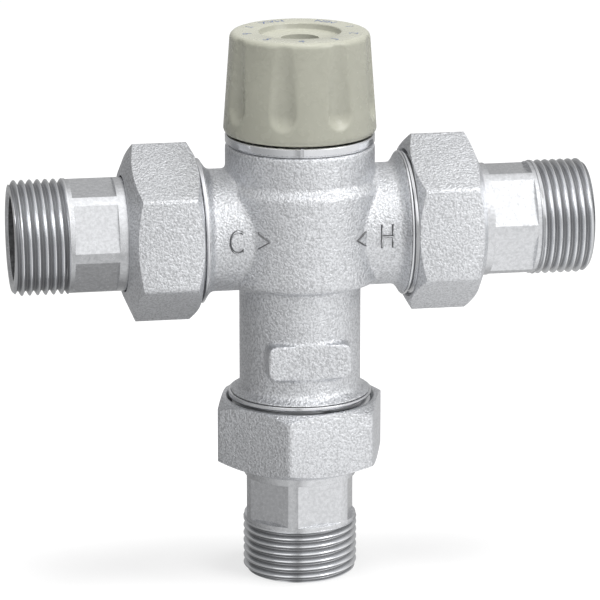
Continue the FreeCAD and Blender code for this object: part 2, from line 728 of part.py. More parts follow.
def return_spring():
    return coil(
        RETURN_SPRING_RADIUS, RETURN_SPRING_WIRE,
        SLEEVE_BASE + SEAT_FLOOR_THICKNESS, -WEB_HALF, RETURN_SPRING_TURNS,
    )


# ---------------------------------------------------------------- knob

def knob():
    """Fluted cap with a dished top; its hub slides over the spindle's spline."""
    shape = turned([
        (0, KNOB_BASE),
        (KNOB_BASE_RADIUS, KNOB_BASE, KNOB_BASE_ROUND),
        (KNOB_TOP_RADIUS, KNOB_TOP, KNOB_TOP_ROUND),
        (0, KNOB_TOP),
    ])
    foot = KNOB_BASE + FLUTE_FOOT
    flute = Part.makeCylinder(FLUTE_CUTTER_RADIUS, KNOB_HEIGHT, Vector(FLUTE_CENTRE_DISTANCE, 0, foot))
    flute = flute.fuse(Part.makeSphere(FLUTE_CUTTER_RADIUS, Vector(FLUTE_CENTRE_DISTANCE, 0, foot)))
    for i in range(FLUTE_COUNT):
        shape = shape.cut(turned_about(flute, FLUTE_FIRST_TURN + 360.0 * i / FLUTE_COUNT))
    socket_top = SPINDLE_TOP + KNOB_SOCKET_SPARE
    cavity_top = KNOB_BASE + KNOB_CAVITY_DEPTH
    cuts = [
        disc(KNOB_DISH_RADIUS, KNOB_TOP - KNOB_DISH_DEPTH, KNOB_TOP),
        disc(KNOB_PIT_RADIUS, PIT_FLOOR, KNOB_TOP),
        disc(SCREW_SHANK_RADIUS + SCREW_PLAY, socket_top, PIT_FLOOR),
        disc(KNOB_CAVITY_RADIUS, KNOB_BASE, KNOB_HUB_BASE),
        ring(KNOB_HUB_RADIUS, KNOB_CAVITY_RADIUS, KNOB_HUB_BASE, cavity_top),
        spline(SPINDLE_RADIUS + SPLINE_PLAY, KNOB_HUB_BASE, socket_top),
    ]
    for cut in cuts:
        shape = shape.cut(cut)
    return shape


def knob_screw():
    head_side = PIT_FLOOR + SCREW_HEAD_HEIGHT - SCREW_HEAD_DOME
    head_top = PIT_FLOOR + SCREW_HEAD_HEIGHT
    shape = turned([
        (0, PIT_FLOOR - SCREW_LENGTH),
        (SCREW_SHANK_RADIUS, PIT_FLOOR - SCREW_LENGTH),
        (SCREW_SHANK_RADIUS, PIT_FLOOR),
        (SCREW_HEAD_RADIUS, PIT_FLOOR),
        (SCREW_HEAD_RADIUS, head_side),
        (SCREW_HEAD_RADIUS - 0.7, head_side + 0.7 * SCREW_HEAD_DOME),
        (0, head_top),
    ])
    half = SCREW_SLOT_WIDTH / 2
    slot = block(
        (-SCREW_HEAD_RADIUS - 1, -half, head_top - SCREW_SLOT_DEPTH),
        (SCREW_HEAD_RADIUS + 1, half, head_top + 1),
    )
    return shape.cut(turned_about(slot, SCREW_SLOT_TURN))


# ---------------------------------------------------------------- pieces of a port, drawn along +Z

def check_housing():
    """Cartridge in an inlet neck: flange and seat outside, spider and stem guide inside."""
    top = port_face("cold") - STRAINER_RIM_THICKNESS
    base = top - CHECK_LENGTH
    outer = NECK_BORE_RADIUS - CHECK_PLAY
    inner = outer - CHECK_WALL
    shape = turned([
        (inner, base),
        (outer, base),
        (outer, top - CHECK_FLANGE_THICKNESS),
        (CHECK_FLANGE_RADIUS, top - CHECK_FLANGE_THICKNESS),
        (CHECK_FLANGE_RADIUS, top),
        (CHECK_SEAT_RADIUS, top),
        (CHECK_SEAT_RADIUS, top - CHECK_SEAT_THICKNESS),
        (inner, top - CHECK_SEAT_THICKNESS),
    ])
    spider_top = base + CHECK_SPIDER_THICKNESS
    half = CHECK_SPIDER_ARM / 2
    middle = (inner + outer) / 2
    spider = [disc(CHECK_BOSS_RADIUS, base, spider_top)]
    for i in range(CHECK_SPIDER_ARMS):
        arm = block((0, -half, base), (middle, half, spider_top))
        spider.append(turned_about(arm, 45 + 360.0 * i / CHECK_SPIDER_ARMS))
    shape = shape.fuse(spider).removeSplitter()
    return shape.cut(disc(POPPET_STEM_RADIUS + POPPET_STEM_PLAY, base, spider_top))


def poppet_face():
    return port_face("cold") - STRAINER_RIM_THICKNESS - CHECK_SEAT_THICKNESS - CHECK_SEAT_GAP


def check_poppet():
    disc_top = poppet_face() - POPPET_SEAL_THICKNESS
    disc_base = disc_top - POPPET_THICKNESS
    return turned([
        (0, disc_base - POPPET_STEM_LENGTH),
        (POPPET_STEM_RADIUS, disc_base - POPPET_STEM_LENGTH),
        (POPPET_STEM_RADIUS, disc_base),
        (POPPET_RADIUS, disc_base),
        (POPPET_RADIUS, disc_top),
        (0, disc_top),
    ])


def check_seal():
    return disc(POPPET_RADIUS, poppet_face() - POPPET_SEAL_THICKNESS, poppet_face())


def check_spring():
    low = port_face("cold") - STRAINER_RIM_THICKNESS - CHECK_LENGTH + CHECK_SPIDER_THICKNESS
    high = poppet_face() - POPPET_SEAL_THICKNESS - POPPET_THICKNESS
    return coil(CHECK_SPRING_RADIUS, CHECK_SPRING_WIRE, low, high, CHECK_SPRING_TURNS)


def strainer():
    """Basket that stands in the bore of an inlet tail, held by its rim under the gasket."""
    face = port_face("cold")
    inner = STRAINER_RADIUS - STRAINER_WALL
    end = face + STRAINER_LENGTH
    shape = turned([
        (inner, face - STRAINER_RIM_THICKNESS),
        (CHECK_FLANGE_RADIUS, face - STRAINER_RIM_THICKNESS),
        (CHECK_FLANGE_RADIUS, face),
        (STRAINER_RADIUS, face),
        (STRAINER_RADIUS, end),
        (0, end),
        (0, end - STRAINER_WALL),
        (inner, end - STRAINER_WALL),
    ])
    half = STRAINER_SLOT_WIDTH / 2
    low = face + STRAINER_SLOT_MARGIN
    high = end - STRAINER_SLOT_MARGIN
    slot = block((inner - 1, -half, low), (STRAINER_RADIUS + 1, half, high))
    for i in range(STRAINER_SLOT_COUNT):
        shape = shape.cut(turned_about(slot, 360.0 * i / STRAINER_SLOT_COUNT))
    return shape


def gasket(port):
    face = port_face(port)
    return ring(GASKET_HOLE_RADIUS, GASKET_RADIUS, face, face + GASKET_THICKNESS)


def tail(port):
    """Pipe tail: collar, plain barrel with six milled flats, and the male pipe thread."""
    end = port_reach(port)
    start = end - TAIL_LENGTH
    thread_start = end - PIPE_THREAD_LENGTH
    shape = turned([
        (TAIL_BORE_RADIUS, start),
        (TAIL_COLLAR_RADIUS, start),
        (TAIL_COLLAR_RADIUS, start + TAIL_COLLAR_THICKNESS),
        (TAIL_RADIUS, start + TAIL_COLLAR_THICKNESS),
        (TAIL_RADIUS, thread_start),
        (PIPE_THREAD_RADIUS, thread_start),
        (PIPE_THREAD_RADIUS, end - PIPE_THREAD_CHAMFER),
        (PIPE_THREAD_RADIUS - PIPE_THREAD_CHAMFER, end),
        (TAIL_BORE_RADIUS + TAIL_BORE_CHAMFER, end),
        (TAIL_BORE_RADIUS, end - TAIL_BORE_CHAMFER),
    ])
    high = thread_start - TAIL_FLATS_TO_THREAD
    low = high - TAIL_FLATS_LENGTH
    turn = OUTLET_TAIL_TURN if port == "outlet" else 0.0
    core = prism(TAIL_FLATS_WIDTH / math.sqrt(3), 6, low, high, turn)
    return shape.cut(disc(TAIL_RADIUS + 1, low, high).cut(core))


def union_nut(port):
    """Cast hexagon nut with a cone towards the tail and a chamfer towards the body."""
    shoulder = port_face(port) + GASKET_THICKNESS + TAIL_COLLAR_THICKNESS + NUT_COLLAR_GAP
    end = shoulder + NUT_SHOULDER
    start = end - NUT_LENGTH
    corner = NUT_WIDTH / math.sqrt(3)
    turn = {"cold": INLET_NUT_TURN, "hot": -INLET_NUT_TURN, "outlet": OUTLET_NUT_TURN}[port]
    hexagon = prism(corner, 6, start, end, turn)
    upright = [edge for edge in hexagon.Edges if edge.BoundBox.ZLength > NUT_LENGTH / 2]
    hexagon = hexagon.makeFillet(NUT_CORNER_ROUND, upright)
    inner_drop = (corner - NUT_INNER_FACE_RADIUS) * math.tan(math.radians(NUT_INNER_CHAMFER_ANGLE))
    outer_drop = (corner - NUT_OUTER_FACE_RADIUS) * math.tan(math.radians(NUT_OUTER_CHAMFER_ANGLE))
    envelope = turned([
        (0, start),
        (NUT_INNER_FACE_RADIUS, start),
        (corner, start + inner_drop),
        (corner, end - outer_drop),
        (NUT_OUTER_FACE_RADIUS, end),
        (0, end),
    ])
    thread = UNION_THREAD_RADIUS + UNION_THREAD_PLAY
    bore = turned([
        (0, start),
        (thread + NUT_MOUTH_CHAMFER, start),
        (thread, start + NUT_MOUTH_CHAMFER),
        (thread, shoulder),
        (TAIL_RADIUS + NUT_NECK_PLAY, shoulder),
        (TAIL_RADIUS + NUT_NECK_PLAY, end),
        (0, end),
    ])
    return hexagon.common(envelope).cut(bore)


# ---------------------------------------------------------------- all the pieces

def pieces():
    """Every node's name and shape in the valve's frame."""
    upright = {
        "valve_body": valve_body(),
        "bonnet": bonnet(),
        "bonnet_seal": bonnet_seal(),
        "spindle": spindle(),
        "spindle_seal_lower": spindle_seal(0),
        "spindle_seal_upper": spindle_seal(1),
        "spindle_clip": spindle_clip(),
        "lifter": lifter(),
        "lifter_clip": lifter_clip(),
        "bearing_plate": bearing_plate(),
        "overtravel_spring": overtravel_spring(),
        "element_pin": element_pin(),
        "wax_element": wax_element(),
        "element_nut": element_nut(),
        "shutter": shutter(),
        "shutter_seal": shutter_seal(),
        "hot_seat": hot_seat(),
        "return_spring": return_spring(),
        "knob": knob(),
        "knob_screw": knob_screw(),
    }
    named = {name: raised(shape, AXIS_HEIGHT) for name, shape in upright.items()}
    inlet_only = {
        "check_housing": check_housing(),
        "check_poppet": check_poppet(),
        "check_seal": check_seal(),
        "check_spring": check_spring(),
        "strainer": strainer(),
    }
    for port in ("cold", "hot", "outlet"):
        named[port + "_gasket"] = at_port(gasket(port), port)
        named[port + "_tail"] = at_port(tail(port), port)
        named[port + "_nut"] = at_port(union_nut(port), port)
        if port != "outlet":
            for name, shape in inlet_only.items():
                named[port + "_" + name] = at_port(shape, port)
    return named


def main():
    os.makedirs("parts", exist_ok=True)
    for name, shape in pieces().items():
        if not shape.isValid() or len(shape.Solids) != 1:
            raise RuntimeError(name + " is not one sound solid")
        shape.Solids[0].exportStep("parts/" + name + ".step")


main()
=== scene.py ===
"""Dresses the thermostatic mixing valve: casting, marks, threads, nuts, tails, knob and finishes."""
import bmesh
import bpy
import math
from bpy.props import FloatProperty, FloatVectorProperty, IntProperty, PointerProperty
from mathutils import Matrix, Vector


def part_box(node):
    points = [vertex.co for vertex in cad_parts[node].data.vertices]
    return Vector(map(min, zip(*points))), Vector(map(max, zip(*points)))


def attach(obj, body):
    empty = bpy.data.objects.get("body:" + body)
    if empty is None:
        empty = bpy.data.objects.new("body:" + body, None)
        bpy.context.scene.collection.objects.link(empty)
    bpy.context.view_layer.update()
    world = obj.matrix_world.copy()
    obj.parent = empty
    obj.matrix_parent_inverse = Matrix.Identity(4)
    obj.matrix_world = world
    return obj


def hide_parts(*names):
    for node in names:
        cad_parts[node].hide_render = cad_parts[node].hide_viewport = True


bl_info = {
    "name": "Thermostatic mixing valve",
    "version": (1, 0, 0),
    "blender": (4, 5, 0),
    "location": "View3D > Sidebar > Valve",
    "description": "Builds the visible pieces and finishes of a mixing valve over its fixed frame",
    "category": "Object",
}

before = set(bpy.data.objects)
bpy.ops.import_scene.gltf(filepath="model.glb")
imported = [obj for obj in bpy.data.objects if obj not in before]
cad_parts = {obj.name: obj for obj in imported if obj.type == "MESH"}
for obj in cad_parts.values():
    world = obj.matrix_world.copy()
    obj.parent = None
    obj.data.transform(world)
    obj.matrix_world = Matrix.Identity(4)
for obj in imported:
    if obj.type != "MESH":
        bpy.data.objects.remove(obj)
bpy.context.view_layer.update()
MM = 0.001
PORTS = ("cold", "hot", "outlet")
BODY_LOW, BODY_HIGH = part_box("valve_body")
COLD_TAIL_LOW, COLD_TAIL_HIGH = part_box("cold_tail")
HOT_TAIL_LOW, HOT_TAIL_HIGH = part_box("hot_tail")
KNOB_LOW, KNOB_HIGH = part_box("knob")

# Height of the inlets' axis above the floor. RIM_HEIGHT, KNOB_BASE and KNOB_TOP are heights above it, and the
# faces and ends of ports are distances from the crossing of the axes.
AXIS_HEIGHT = (COLD_TAIL_LOW[2] + COLD_TAIL_HIGH[2]) / 2
INLET_END = HOT_TAIL_HIGH[0]
TAIL_LENGTH = HOT_TAIL_HIGH[0] - HOT_TAIL_LOW[0]
NUT_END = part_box("hot_nut")[1][0]
RIM_HEIGHT = BODY_HIGH[2] - AXIS_HEIGHT
INLET_FACE = BODY_HIGH[0]
OUTLET_FACE = AXIS_HEIGHT - BODY_LOW[2]
PRINT_THICKNESS = 0.02 * MM
KNOB_BASE = KNOB_LOW[2] - AXIS_HEIGHT
KNOB_TOP = KNOB_HIGH[2] - AXIS_HEIGHT - 1.5 * PRINT_THICKNESS


# ---------------------------------------------------------------- what a user would change

def length(name, description, default):
    return FloatProperty(name=name, description=description, default=default, min=0.0, precision=5,
                         subtype="DISTANCE", unit="LENGTH")


def colour(name, description, default):
    return FloatVectorProperty(name=name, description=description, default=default, min=0.0, max=1.0,
                               size=3, subtype="COLOR")


def ratio(name, description, default):
    return FloatProperty(name=name, description=description, default=default, min=0.0, max=1.0,
                         subtype="FACTOR")


class ValveSizes(bpy.types.PropertyGroup):
    """Sizes of the visible pieces."""
    neck_radius: length("Neck radius", "Outside radius of the inlet necks", 14.05 * MM)
    stem_radius: length("Stem radius", "Outside radius of the stem above the outlet", 14.0 * MM)
    bulge_radius: length("Bulge radius", "Outside radius of the casting round the shutter", 18.8 * MM)
    rim_radius: length("Rim radius", "Outside radius of the casting under the bonnet", 17.15 * MM)
    casting_grid: length("Casting grid", "Mesh size of the casting's blended surface", 0.42 * MM)
    union_thread_radius: length("Union thread radius", "Major radius of the union threads", 16.6 * MM)
    union_thread_pitch: length("Union thread pitch", "Pitch of the union threads", 2.309 * MM)
    pipe_thread_radius: length("Pipe thread radius", "Major radius of the pipe threads", 13.22 * MM)
    pipe_thread_pitch: length("Pipe thread pitch", "Pitch of the pipe threads", 1.814 * MM)
    pipe_thread_length: length("Pipe thread length", "Length of each pipe thread", 12.6 * MM)
    tail_radius: length("Tail radius", "Outside radius of a tail's plain barrel", 13.0 * MM)
    tail_bore_radius: length("Tail bore radius", "Radius of the way through a tail", 10.0 * MM)
    flats_width: length("Flats width", "Width across the milled flats of a tail", 23.6 * MM)
    nut_width: length("Nut width", "Width across the flats of a union nut", 36.0 * MM)
    nut_length: length("Nut length", "Length of a union nut", 16.5 * MM)
    union_thread_length: length("Union thread length", "Length of each union thread on the casting", 9.5 * MM)
    nut_corner: length("Nut corner", "Rounding of a union nut's six corners", 1.2 * MM)
    flute_radius: length("Flute radius", "Radius of a knob flute's section", 5.0 * MM)
    flute_count: IntProperty(name="Flutes", description="Number of flutes round the knob", default=8, min=3)
    mark_height: length("Mark height", "How far the cast marks stand out", 0.45 * MM)


class ValveColours(bpy.types.PropertyGroup):
    """Colours and gloss of the finishes."""
    cast_chrome: colour("Cast chrome", "Chrome plate over the sand-blasted casting", (0.66, 0.67, 0.69))
    bright_chrome: colour("Bright chrome", "Chrome plate over machined metal", (0.74, 0.75, 0.77))
    cast_gloss: ratio("Cast roughness", "Roughness of the plated casting", 0.4)
    bright_gloss: ratio("Bright roughness", "Roughness of the plated machined metal", 0.12)
    knob: colour("Knob", "Grey-beige plastic of the knob", (0.3, 0.3, 0.25))
    knob_print: colour("Knob print", "Blue-grey print on the knob's top", (0.06, 0.08, 0.15))
    brass: colour("Brass", "Machined brass inside the valve", (0.62, 0.44, 0.18))
    copper: colour("Copper", "Drawn copper of the wax element", (0.7, 0.36, 0.2))
    steel: colour("Steel", "Stainless steel of springs and strainers", (0.5, 0.5, 0.51))
    rubber: colour("Rubber", "Black rubber of the seals", (0.02, 0.02, 0.02))
    moulding: colour("Moulding", "Pale plastic of the check valves", (0.72, 0.71, 0.66))
    floor: colour("Floor", "Pale floor", (0.94, 0.94, 0.94))


# ---------------------------------------------------------------- shader expressions

class Value:
    """A number's socket in a node tree; arithmetic on it adds Math nodes."""

    def __init__(self, graph, socket):
        self.graph = graph
        self.socket = socket

    def _join(self, operation, first, second):
        return self.graph.node("ShaderNodeMath", {"operation": operation}, {0: first, 1: second}).out("Value")

    def __add__(self, other):
        return self._join("ADD", self, other)

    def __radd__(self, other):
        return self._join("ADD", other, self)

    def __sub__(self, other):
        return self._join("SUBTRACT", self, other)

    def __rsub__(self, other):
        return self._join("SUBTRACT", other, self)

    def __mul__(self, other):
        return self._join("MULTIPLY", self, other)

    def __rmul__(self, other):
        return self._join("MULTIPLY", other, self)

    def __truediv__(self, other):
        return self._join("DIVIDE", self, other)

    def __abs__(self):
        return self.graph.node("ShaderNodeMath", {"operation": "ABSOLUTE"}, {0: self}).out("Value")

    def ramp(self, low, high):
        """0 below low, 1 above high, and a smooth step between."""
        settings = {"interpolation_type": "SMOOTHSTEP"}
        spans = {"Value": self, "From Min": low, "From Max": high}
        return self.graph.node("ShaderNodeMapRange", settings, spans).out("Result")


class Made:
    """A node that a graph has added."""

    def __init__(self, graph, node):
        self.graph = graph
        self.node = node

    def out(self, name):
        return Value(self.graph, self.node.outputs[name])


class Graph:
    """Node tree of one finish."""

    def __init__(self, owner):
        owner.use_nodes = True
        self.tree = owner.node_tree
        self.tree.nodes.clear()

    def node(self, kind, settings=None, inputs=None):
        """Adds a node: its settings first, then the values or links of its sockets."""
        made = self.tree.nodes.new(kind)
        for name, value in (settings or {}).items():
            setattr(made, name, value)
        for name, value in (inputs or {}).items():
            socket = made.inputs[name]
            if isinstance(value, Value):
                self.tree.links.new(value.socket, socket)
            elif socket.type == "RGBA" and len(value) == 3:
                socket.default_value = (*value, 1.0)
            else:
                socket.default_value = value
        return Made(self, made)

    def mix(self, factor, first, second):
        """Blend of two colours."""
        made = self.node("ShaderNodeMix", {"data_type": "RGBA"}, {0: factor, 6: first, 7: second})
        return Value(self, made.node.outputs[2])

    def place(self):
        """Position in the valve's frame, in metres."""
        return self.node("ShaderNodeTexCoord").out("Object")

    def grain(self, scale, detail=2.0, roughness=0.5):
        """Noise from 0 to 1; scale is in cells a metre."""
        inputs = {"Vector": self.place(), "Scale": scale, "Detail": detail, "Roughness": roughness}
        return self.node("ShaderNodeTexNoise", None, inputs).out("Fac")

    def bump(self, height, distance, strength=1.0, normal=None):
        inputs = {"Height": height, "Distance": distance, "Strength": strength}
        if normal:
            inputs["Normal"] = normal
        return self.node("ShaderNodeBump", None, inputs).out("Normal")

    def rounded(self, radius):
        """Normal that softens sharp edges."""
        return self.node("ShaderNodeBevel", {"samples": 6}, {"Radius": radius}).out("Normal")

    def surface(self, inputs):
        """Sends a Principled shader to a material's output."""
        self.send("ShaderNodeOutputMaterial", self.node("ShaderNodeBsdfPrincipled", None, inputs))

    def blend(self, output, factor, first, second):
        """Sends a mix of two shaders to an output."""
        mixed = self.node("ShaderNodeMixShader", None, {0: factor})
        for socket, shader in ((1, first), (2, second)):
            self.tree.links.new(shader.node.outputs[0], mixed.node.inputs[socket])
        self.send(output, mixed)

    def send(self, output, shader):
        """Links a shader to a new output."""
        self.tree.links.new(shader.node.outputs[0], self.tree.nodes.new(output).inputs["Surface"])


def scaled(shade, factor):
    """A colour times a factor, kept at 1 or less."""
    return tuple(min(1.0, part * factor) for part in shade)


# ---------------------------------------------------------------- finishes

def finish(make):
    """The material that a function makes, built once; the frame's own materials have other names."""
    name = make.__name__ + "_finish"
    known = bpy.data.materials.get(name)
    if known:
        return known
    material = bpy.data.materials.new(name)
    make(Graph(material), bpy.context.scene.valve_colours)
    return material


def worn(graph, shade, scale, dark, bright, detail=3.0, roughness=0.6):
    """Fine marks, and a shade that goes with them from a dark to a bright share of itself."""
    marks = graph.grain(scale, detail, roughness)
    return marks, graph.mix(marks.ramp(0.3, 0.7), scaled(shade, dark), scaled(shade, bright))


def worn_metal(graph, shade, scale, dark, bright, rough, spread):
    """Metal whose marks vary its shade and raise its roughness from rough by up to spread."""
    marks, tone = worn(graph, shade, scale, dark, bright)
    graph.surface({"Base Color": tone, "Metallic": 1.0, "Roughness": rough + marks * spread})


def cast_chrome(graph, colours):
    """Satin chrome over a blasted casting: small dimples, pits that hold shade, and a slow drift of tone."""
    fine = graph.grain(scale=2000.0, roughness=0.6)
    coarse = graph.grain(scale=900.0)
    drift = graph.grain(scale=60.0)
    normal = graph.bump(fine * 0.8 + coarse * 0.4, distance=0.4 * MM, strength=0.9)
    pitted = fine.ramp(0.36, 0.62)
    tone = graph.mix(pitted, scaled(colours.cast_chrome, 0.86), scaled(colours.cast_chrome, 1.22))
    tone = graph.mix(drift.ramp(0.3, 0.7) * 0.15, tone, scaled(colours.cast_chrome, 0.8))
    rough = colours.cast_gloss + coarse * 0.1
    graph.surface({"Base Color": tone, "Metallic": 1.0, "Roughness": rough, "Normal": normal})


def bright_chrome(graph, colours):
    """Bright plate over turned metal, with faint turning marks."""
    marks, tone = worn(graph, colours.bright_chrome, scale=400.0, dark=0.95, bright=1.0)
    rough = colours.bright_gloss + marks * 0.06
    normal = graph.bump(marks, distance=0.02 * MM, strength=0.2, normal=graph.rounded(0.12 * MM))
    graph.surface({"Base Color": tone, "Metallic": 1.0, "Roughness": rough, "Normal": normal})


def thread_chrome(graph, colours):
    """Bright plate over a cut thread, duller towards the roots and darkened there as painted shade."""
    marks = graph.grain(scale=900.0, detail=3.0, roughness=0.6)
    root = graph.node("ShaderNodeAttribute", {"attribute_name": "root"}).out("Fac")
    # Painted shade: the plate darkens towards the thread's roots.
    tone = graph.mix(root.ramp(0.1, 0.85), colours.bright_chrome, scaled(colours.bright_chrome, 0.55))
    rough = colours.bright_gloss + root * 0.18 + marks * 0.08
    normal = graph.bump(marks, distance=0.03 * MM, strength=0.25)
    graph.surface({"Base Color": tone, "Metallic": 1.0, "Roughness": rough, "Normal": normal})


def shaded_chrome(graph, colours):
    """Plate darkened as painted shade, for the insides of bores and the sides of cast marks."""
    worn_metal(graph, colours.bright_chrome, scale=900.0, dark=0.16, bright=0.3, rough=0.45, spread=0.1)


def milled_chrome(graph, colours):
    """Plate over milled flats and plain barrels: satin and a little streaked."""
    streaks, tone = worn(graph, colours.bright_chrome, scale=1200.0, dark=0.8, bright=0.96)
    rough = colours.bright_gloss + 0.1 + streaks * 0.08
    normal = graph.bump(streaks, distance=0.06 * MM, strength=0.5, normal=graph.rounded(0.15 * MM))
    graph.surface({"Base Color": tone, "Metallic": 1.0, "Roughness": rough, "Normal": normal})


def knob_plastic(graph, colours):
    """Glossy moulded plastic with a trace of orange peel."""
    peel = graph.grain(scale=500.0, detail=1.0, roughness=0.4)
    tone = worn(graph, colours.knob, scale=80.0, dark=0.97, bright=1.03, detail=2.0, roughness=0.5)[1]
    normal = graph.bump(peel, distance=0.02 * MM, strength=0.15)
    graph.surface({"Base Color": tone, "Roughness": 0.24 + peel * 0.06, "IOR": 1.5, "Normal": normal})


def knob_print(graph, colours):
    """Printed ink, a little uneven."""
    wear = graph.grain(scale=1500.0, roughness=0.6)
    tone = graph.mix(wear.ramp(0.35, 0.7), colours.knob_print, scaled(colours.knob_print, 1.4))
    graph.surface({"Base Color": tone, "Roughness": 0.4})


def brass(graph, colours):
    worn_metal(graph, colours.brass, scale=600.0, dark=0.85, bright=1.0, rough=0.25, spread=0.15)


def copper(graph, colours):
    worn_metal(graph, colours.copper, scale=500.0, dark=0.8, bright=1.0, rough=0.22, spread=0.15)


def steel(graph, colours):
    worn_metal(graph, colours.steel, scale=900.0, dark=0.85, bright=1.1, rough=0.25, spread=0.12)


def rubber(graph, colours):
    marks, tone = worn(graph, colours.rubber, scale=1500.0, dark=1.0, bright=2.0)
    normal = graph.bump(marks, distance=0.03 * MM, strength=0.3)
    graph.surface({"Base Color": tone, "Roughness": 0.55 + marks * 0.2, "Normal": normal})


def moulding(graph, colours):
    marks, tone = worn(graph, colours.moulding, scale=900.0, dark=0.95, bright=1.0, detail=2.0, roughness=0.5)
    normal = graph.bump(marks, distance=0.02 * MM, strength=0.2)
    graph.surface({"Base Color": tone, "Roughness": 0.4 + marks * 0.1, "Normal": normal})


NODE_FINISHES = {
    bright_chrome: ("bonnet", "knob_screw"),
    brass: ("spindle", "lifter", "bearing_plate", "hot_seat", "element_nut"),
    copper: ("wax_element",),
    steel: ("element_pin", "spindle_clip", "lifter_clip", "overtravel_spring", "return_spring",
            "cold_check_spring", "hot_check_spring", "cold_strainer", "hot_strainer"),
    rubber: ("bonnet_seal", "spindle_seal_lower", "spindle_seal_upper", "shutter_seal",
             "cold_check_seal", "hot_check_seal", "cold_gasket", "hot_gasket", "outlet_gasket"),
    moulding: ("shutter", "cold_check_housing", "hot_check_housing", "cold_check_poppet", "hot_check_poppet"),
}


# ---------------------------------------------------------------- meshes about an axis

def on_port(port, radius, angle, along):
    """Point at a radius and angle about a port's axis, at a distance from the crossing of the axes."""
    across = radius * math.cos(angle)
    rise = radius * math.sin(angle)
    if port == "cold":
        return Vector((-along, -across, AXIS_HEIGHT + rise))
    if port == "hot":
        return Vector((along, across, AXIS_HEIGHT + rise))
    return Vector((-rise, -across, AXIS_HEIGHT - along))


def on_stem(port, radius, angle, along):
    """Point at a radius and angle about the knob's axis; port isn't used."""
    return Vector((radius * math.cos(angle), radius * math.sin(angle), AXIS_HEIGHT + along))


def even_angles(count):
    return [2 * math.pi * i / count for i in range(count)]


def angles_with(count, extra):
    """Even angles together with the ones at which a section has corners."""
    turn = 2 * math.pi
    every = even_angles(count) + [angle % turn for angle in extra]
    kept = []
    for angle in sorted(every):
        if not kept or angle - kept[-1] > 1e-4:
            kept.append(angle)
    return kept


def ring_at(radius, along):
    """Plain circle of a lathed surface."""
    return lambda angle: (radius, along)


def lathe(rings, angles, place, port=None, mesh=None):
    """Adds the surface through rings, each a function of angle that gives radius and place along."""
    mesh = mesh or bmesh.new()
    rows = []
    for ring in rings:
        rows.append([mesh.verts.new(place(port, *spread(ring, angle))) for angle in angles])
    count = len(angles)
    for lower, upper in zip(rows, rows[1:]):
        for i in range(count):
            j = (i + 1) % count
            mesh.faces.new((lower[i], lower[j], upper[j], upper[i]))
    return mesh


def spread(ring, angle):
    radius, along = ring(angle)
    return radius, angle, along


THREAD_ROWS = 12
WELD = 0.001 * MM
WHITWORTH_DEPTH = 0.64  # of the pitch


def thread(mesh, radius_at, start, end, pitch, angles, place, port):
    """Adds a right-handed thread with rows along its helix; radius_at takes the place along and phase."""
    turn = 2 * math.pi
    root = mesh.verts.layers.float.get("root") or mesh.verts.layers.float.new("root")
    row_count = int(math.ceil((end - start) / pitch) + 2) * THREAD_ROWS
    columns = []
    for angle in angles:
        column = []
        for row in range(row_count + 1):
            along = start + pitch * (row / THREAD_ROWS - 1 + angle / turn)
            clamped = min(max(along, start), end)
            phase = (clamped - start) / pitch - angle / turn
            vert = mesh.verts.new(place(port, radius_at(clamped, phase), angle, clamped))
            # Depth into the thread: the finish makes it rougher there and darkens it as painted shade.
            vert[root] = 0.5 - 0.5 * math.cos(turn * phase)
            column.append(vert)
        columns.append(column)
    for i, column in enumerate(columns):
        last = i == len(columns) - 1
        following = columns[0] if last else columns[i + 1]
        shift = THREAD_ROWS if last else 0
        for row in range(row_count - shift):
            mesh.faces.new((column[row], following[row + shift], following[row + shift + 1], column[row + 1]))
    return mesh


def cut_thread(mesh, radius_at, start, end, pitch, angles, port):
    """Adds a thread on a port whose faces take the second finish."""
    plain = len(mesh.faces)
    thread(mesh, radius_at, start, end, pitch, angles, on_port, port)
    mesh.faces.ensure_lookup_table()
    for face in mesh.faces[plain:]:
        face.material_index = 1


def whitworth(major, pitch, phase):
    """Radius of a rounded pipe thread at a phase from one crest to the next."""
    return major - WHITWORTH_DEPTH * pitch * (0.5 - 0.5 * math.cos(2 * math.pi * phase))


def solid_object(name, mesh, finishes, sharp=35.0):
    """Object from a mesh, cleaned, smooth, with edges sharper than an angle kept sharp."""
    bmesh.ops.remove_doubles(mesh, verts=mesh.verts, dist=WELD)
    bmesh.ops.recalc_face_normals(mesh, faces=mesh.faces)
    data = bpy.data.meshes.new(name)
    mesh.to_mesh(data)
    mesh.free()
    made = bpy.data.objects.new(name, data)
    bpy.context.scene.collection.objects.link(made)
    for material in finishes:
        data.materials.append(material)
    data.shade_smooth()
    data.set_sharp_from_angle(angle=math.radians(sharp))
    return made


def apply_modifiers(made):
    """Replaces an object's mesh by the result of its modifiers."""
    depsgraph = bpy.context.evaluated_depsgraph_get()
    data = bpy.data.meshes.new_from_object(made.evaluated_get(depsgraph))
    made.modifiers.clear()
    made.data = data
    return made


def arc_points(centre, radius, first, last, count):
    """Points (radius, height) of an arc in a section, angles in degrees."""
    points = []
    for i in range(count + 1):
        angle = math.radians(first + (last - first) * i / count)
        points.append((centre[0] + radius * math.cos(angle), centre[1] + radius * math.sin(angle)))
    return points


# ---------------------------------------------------------------- casting

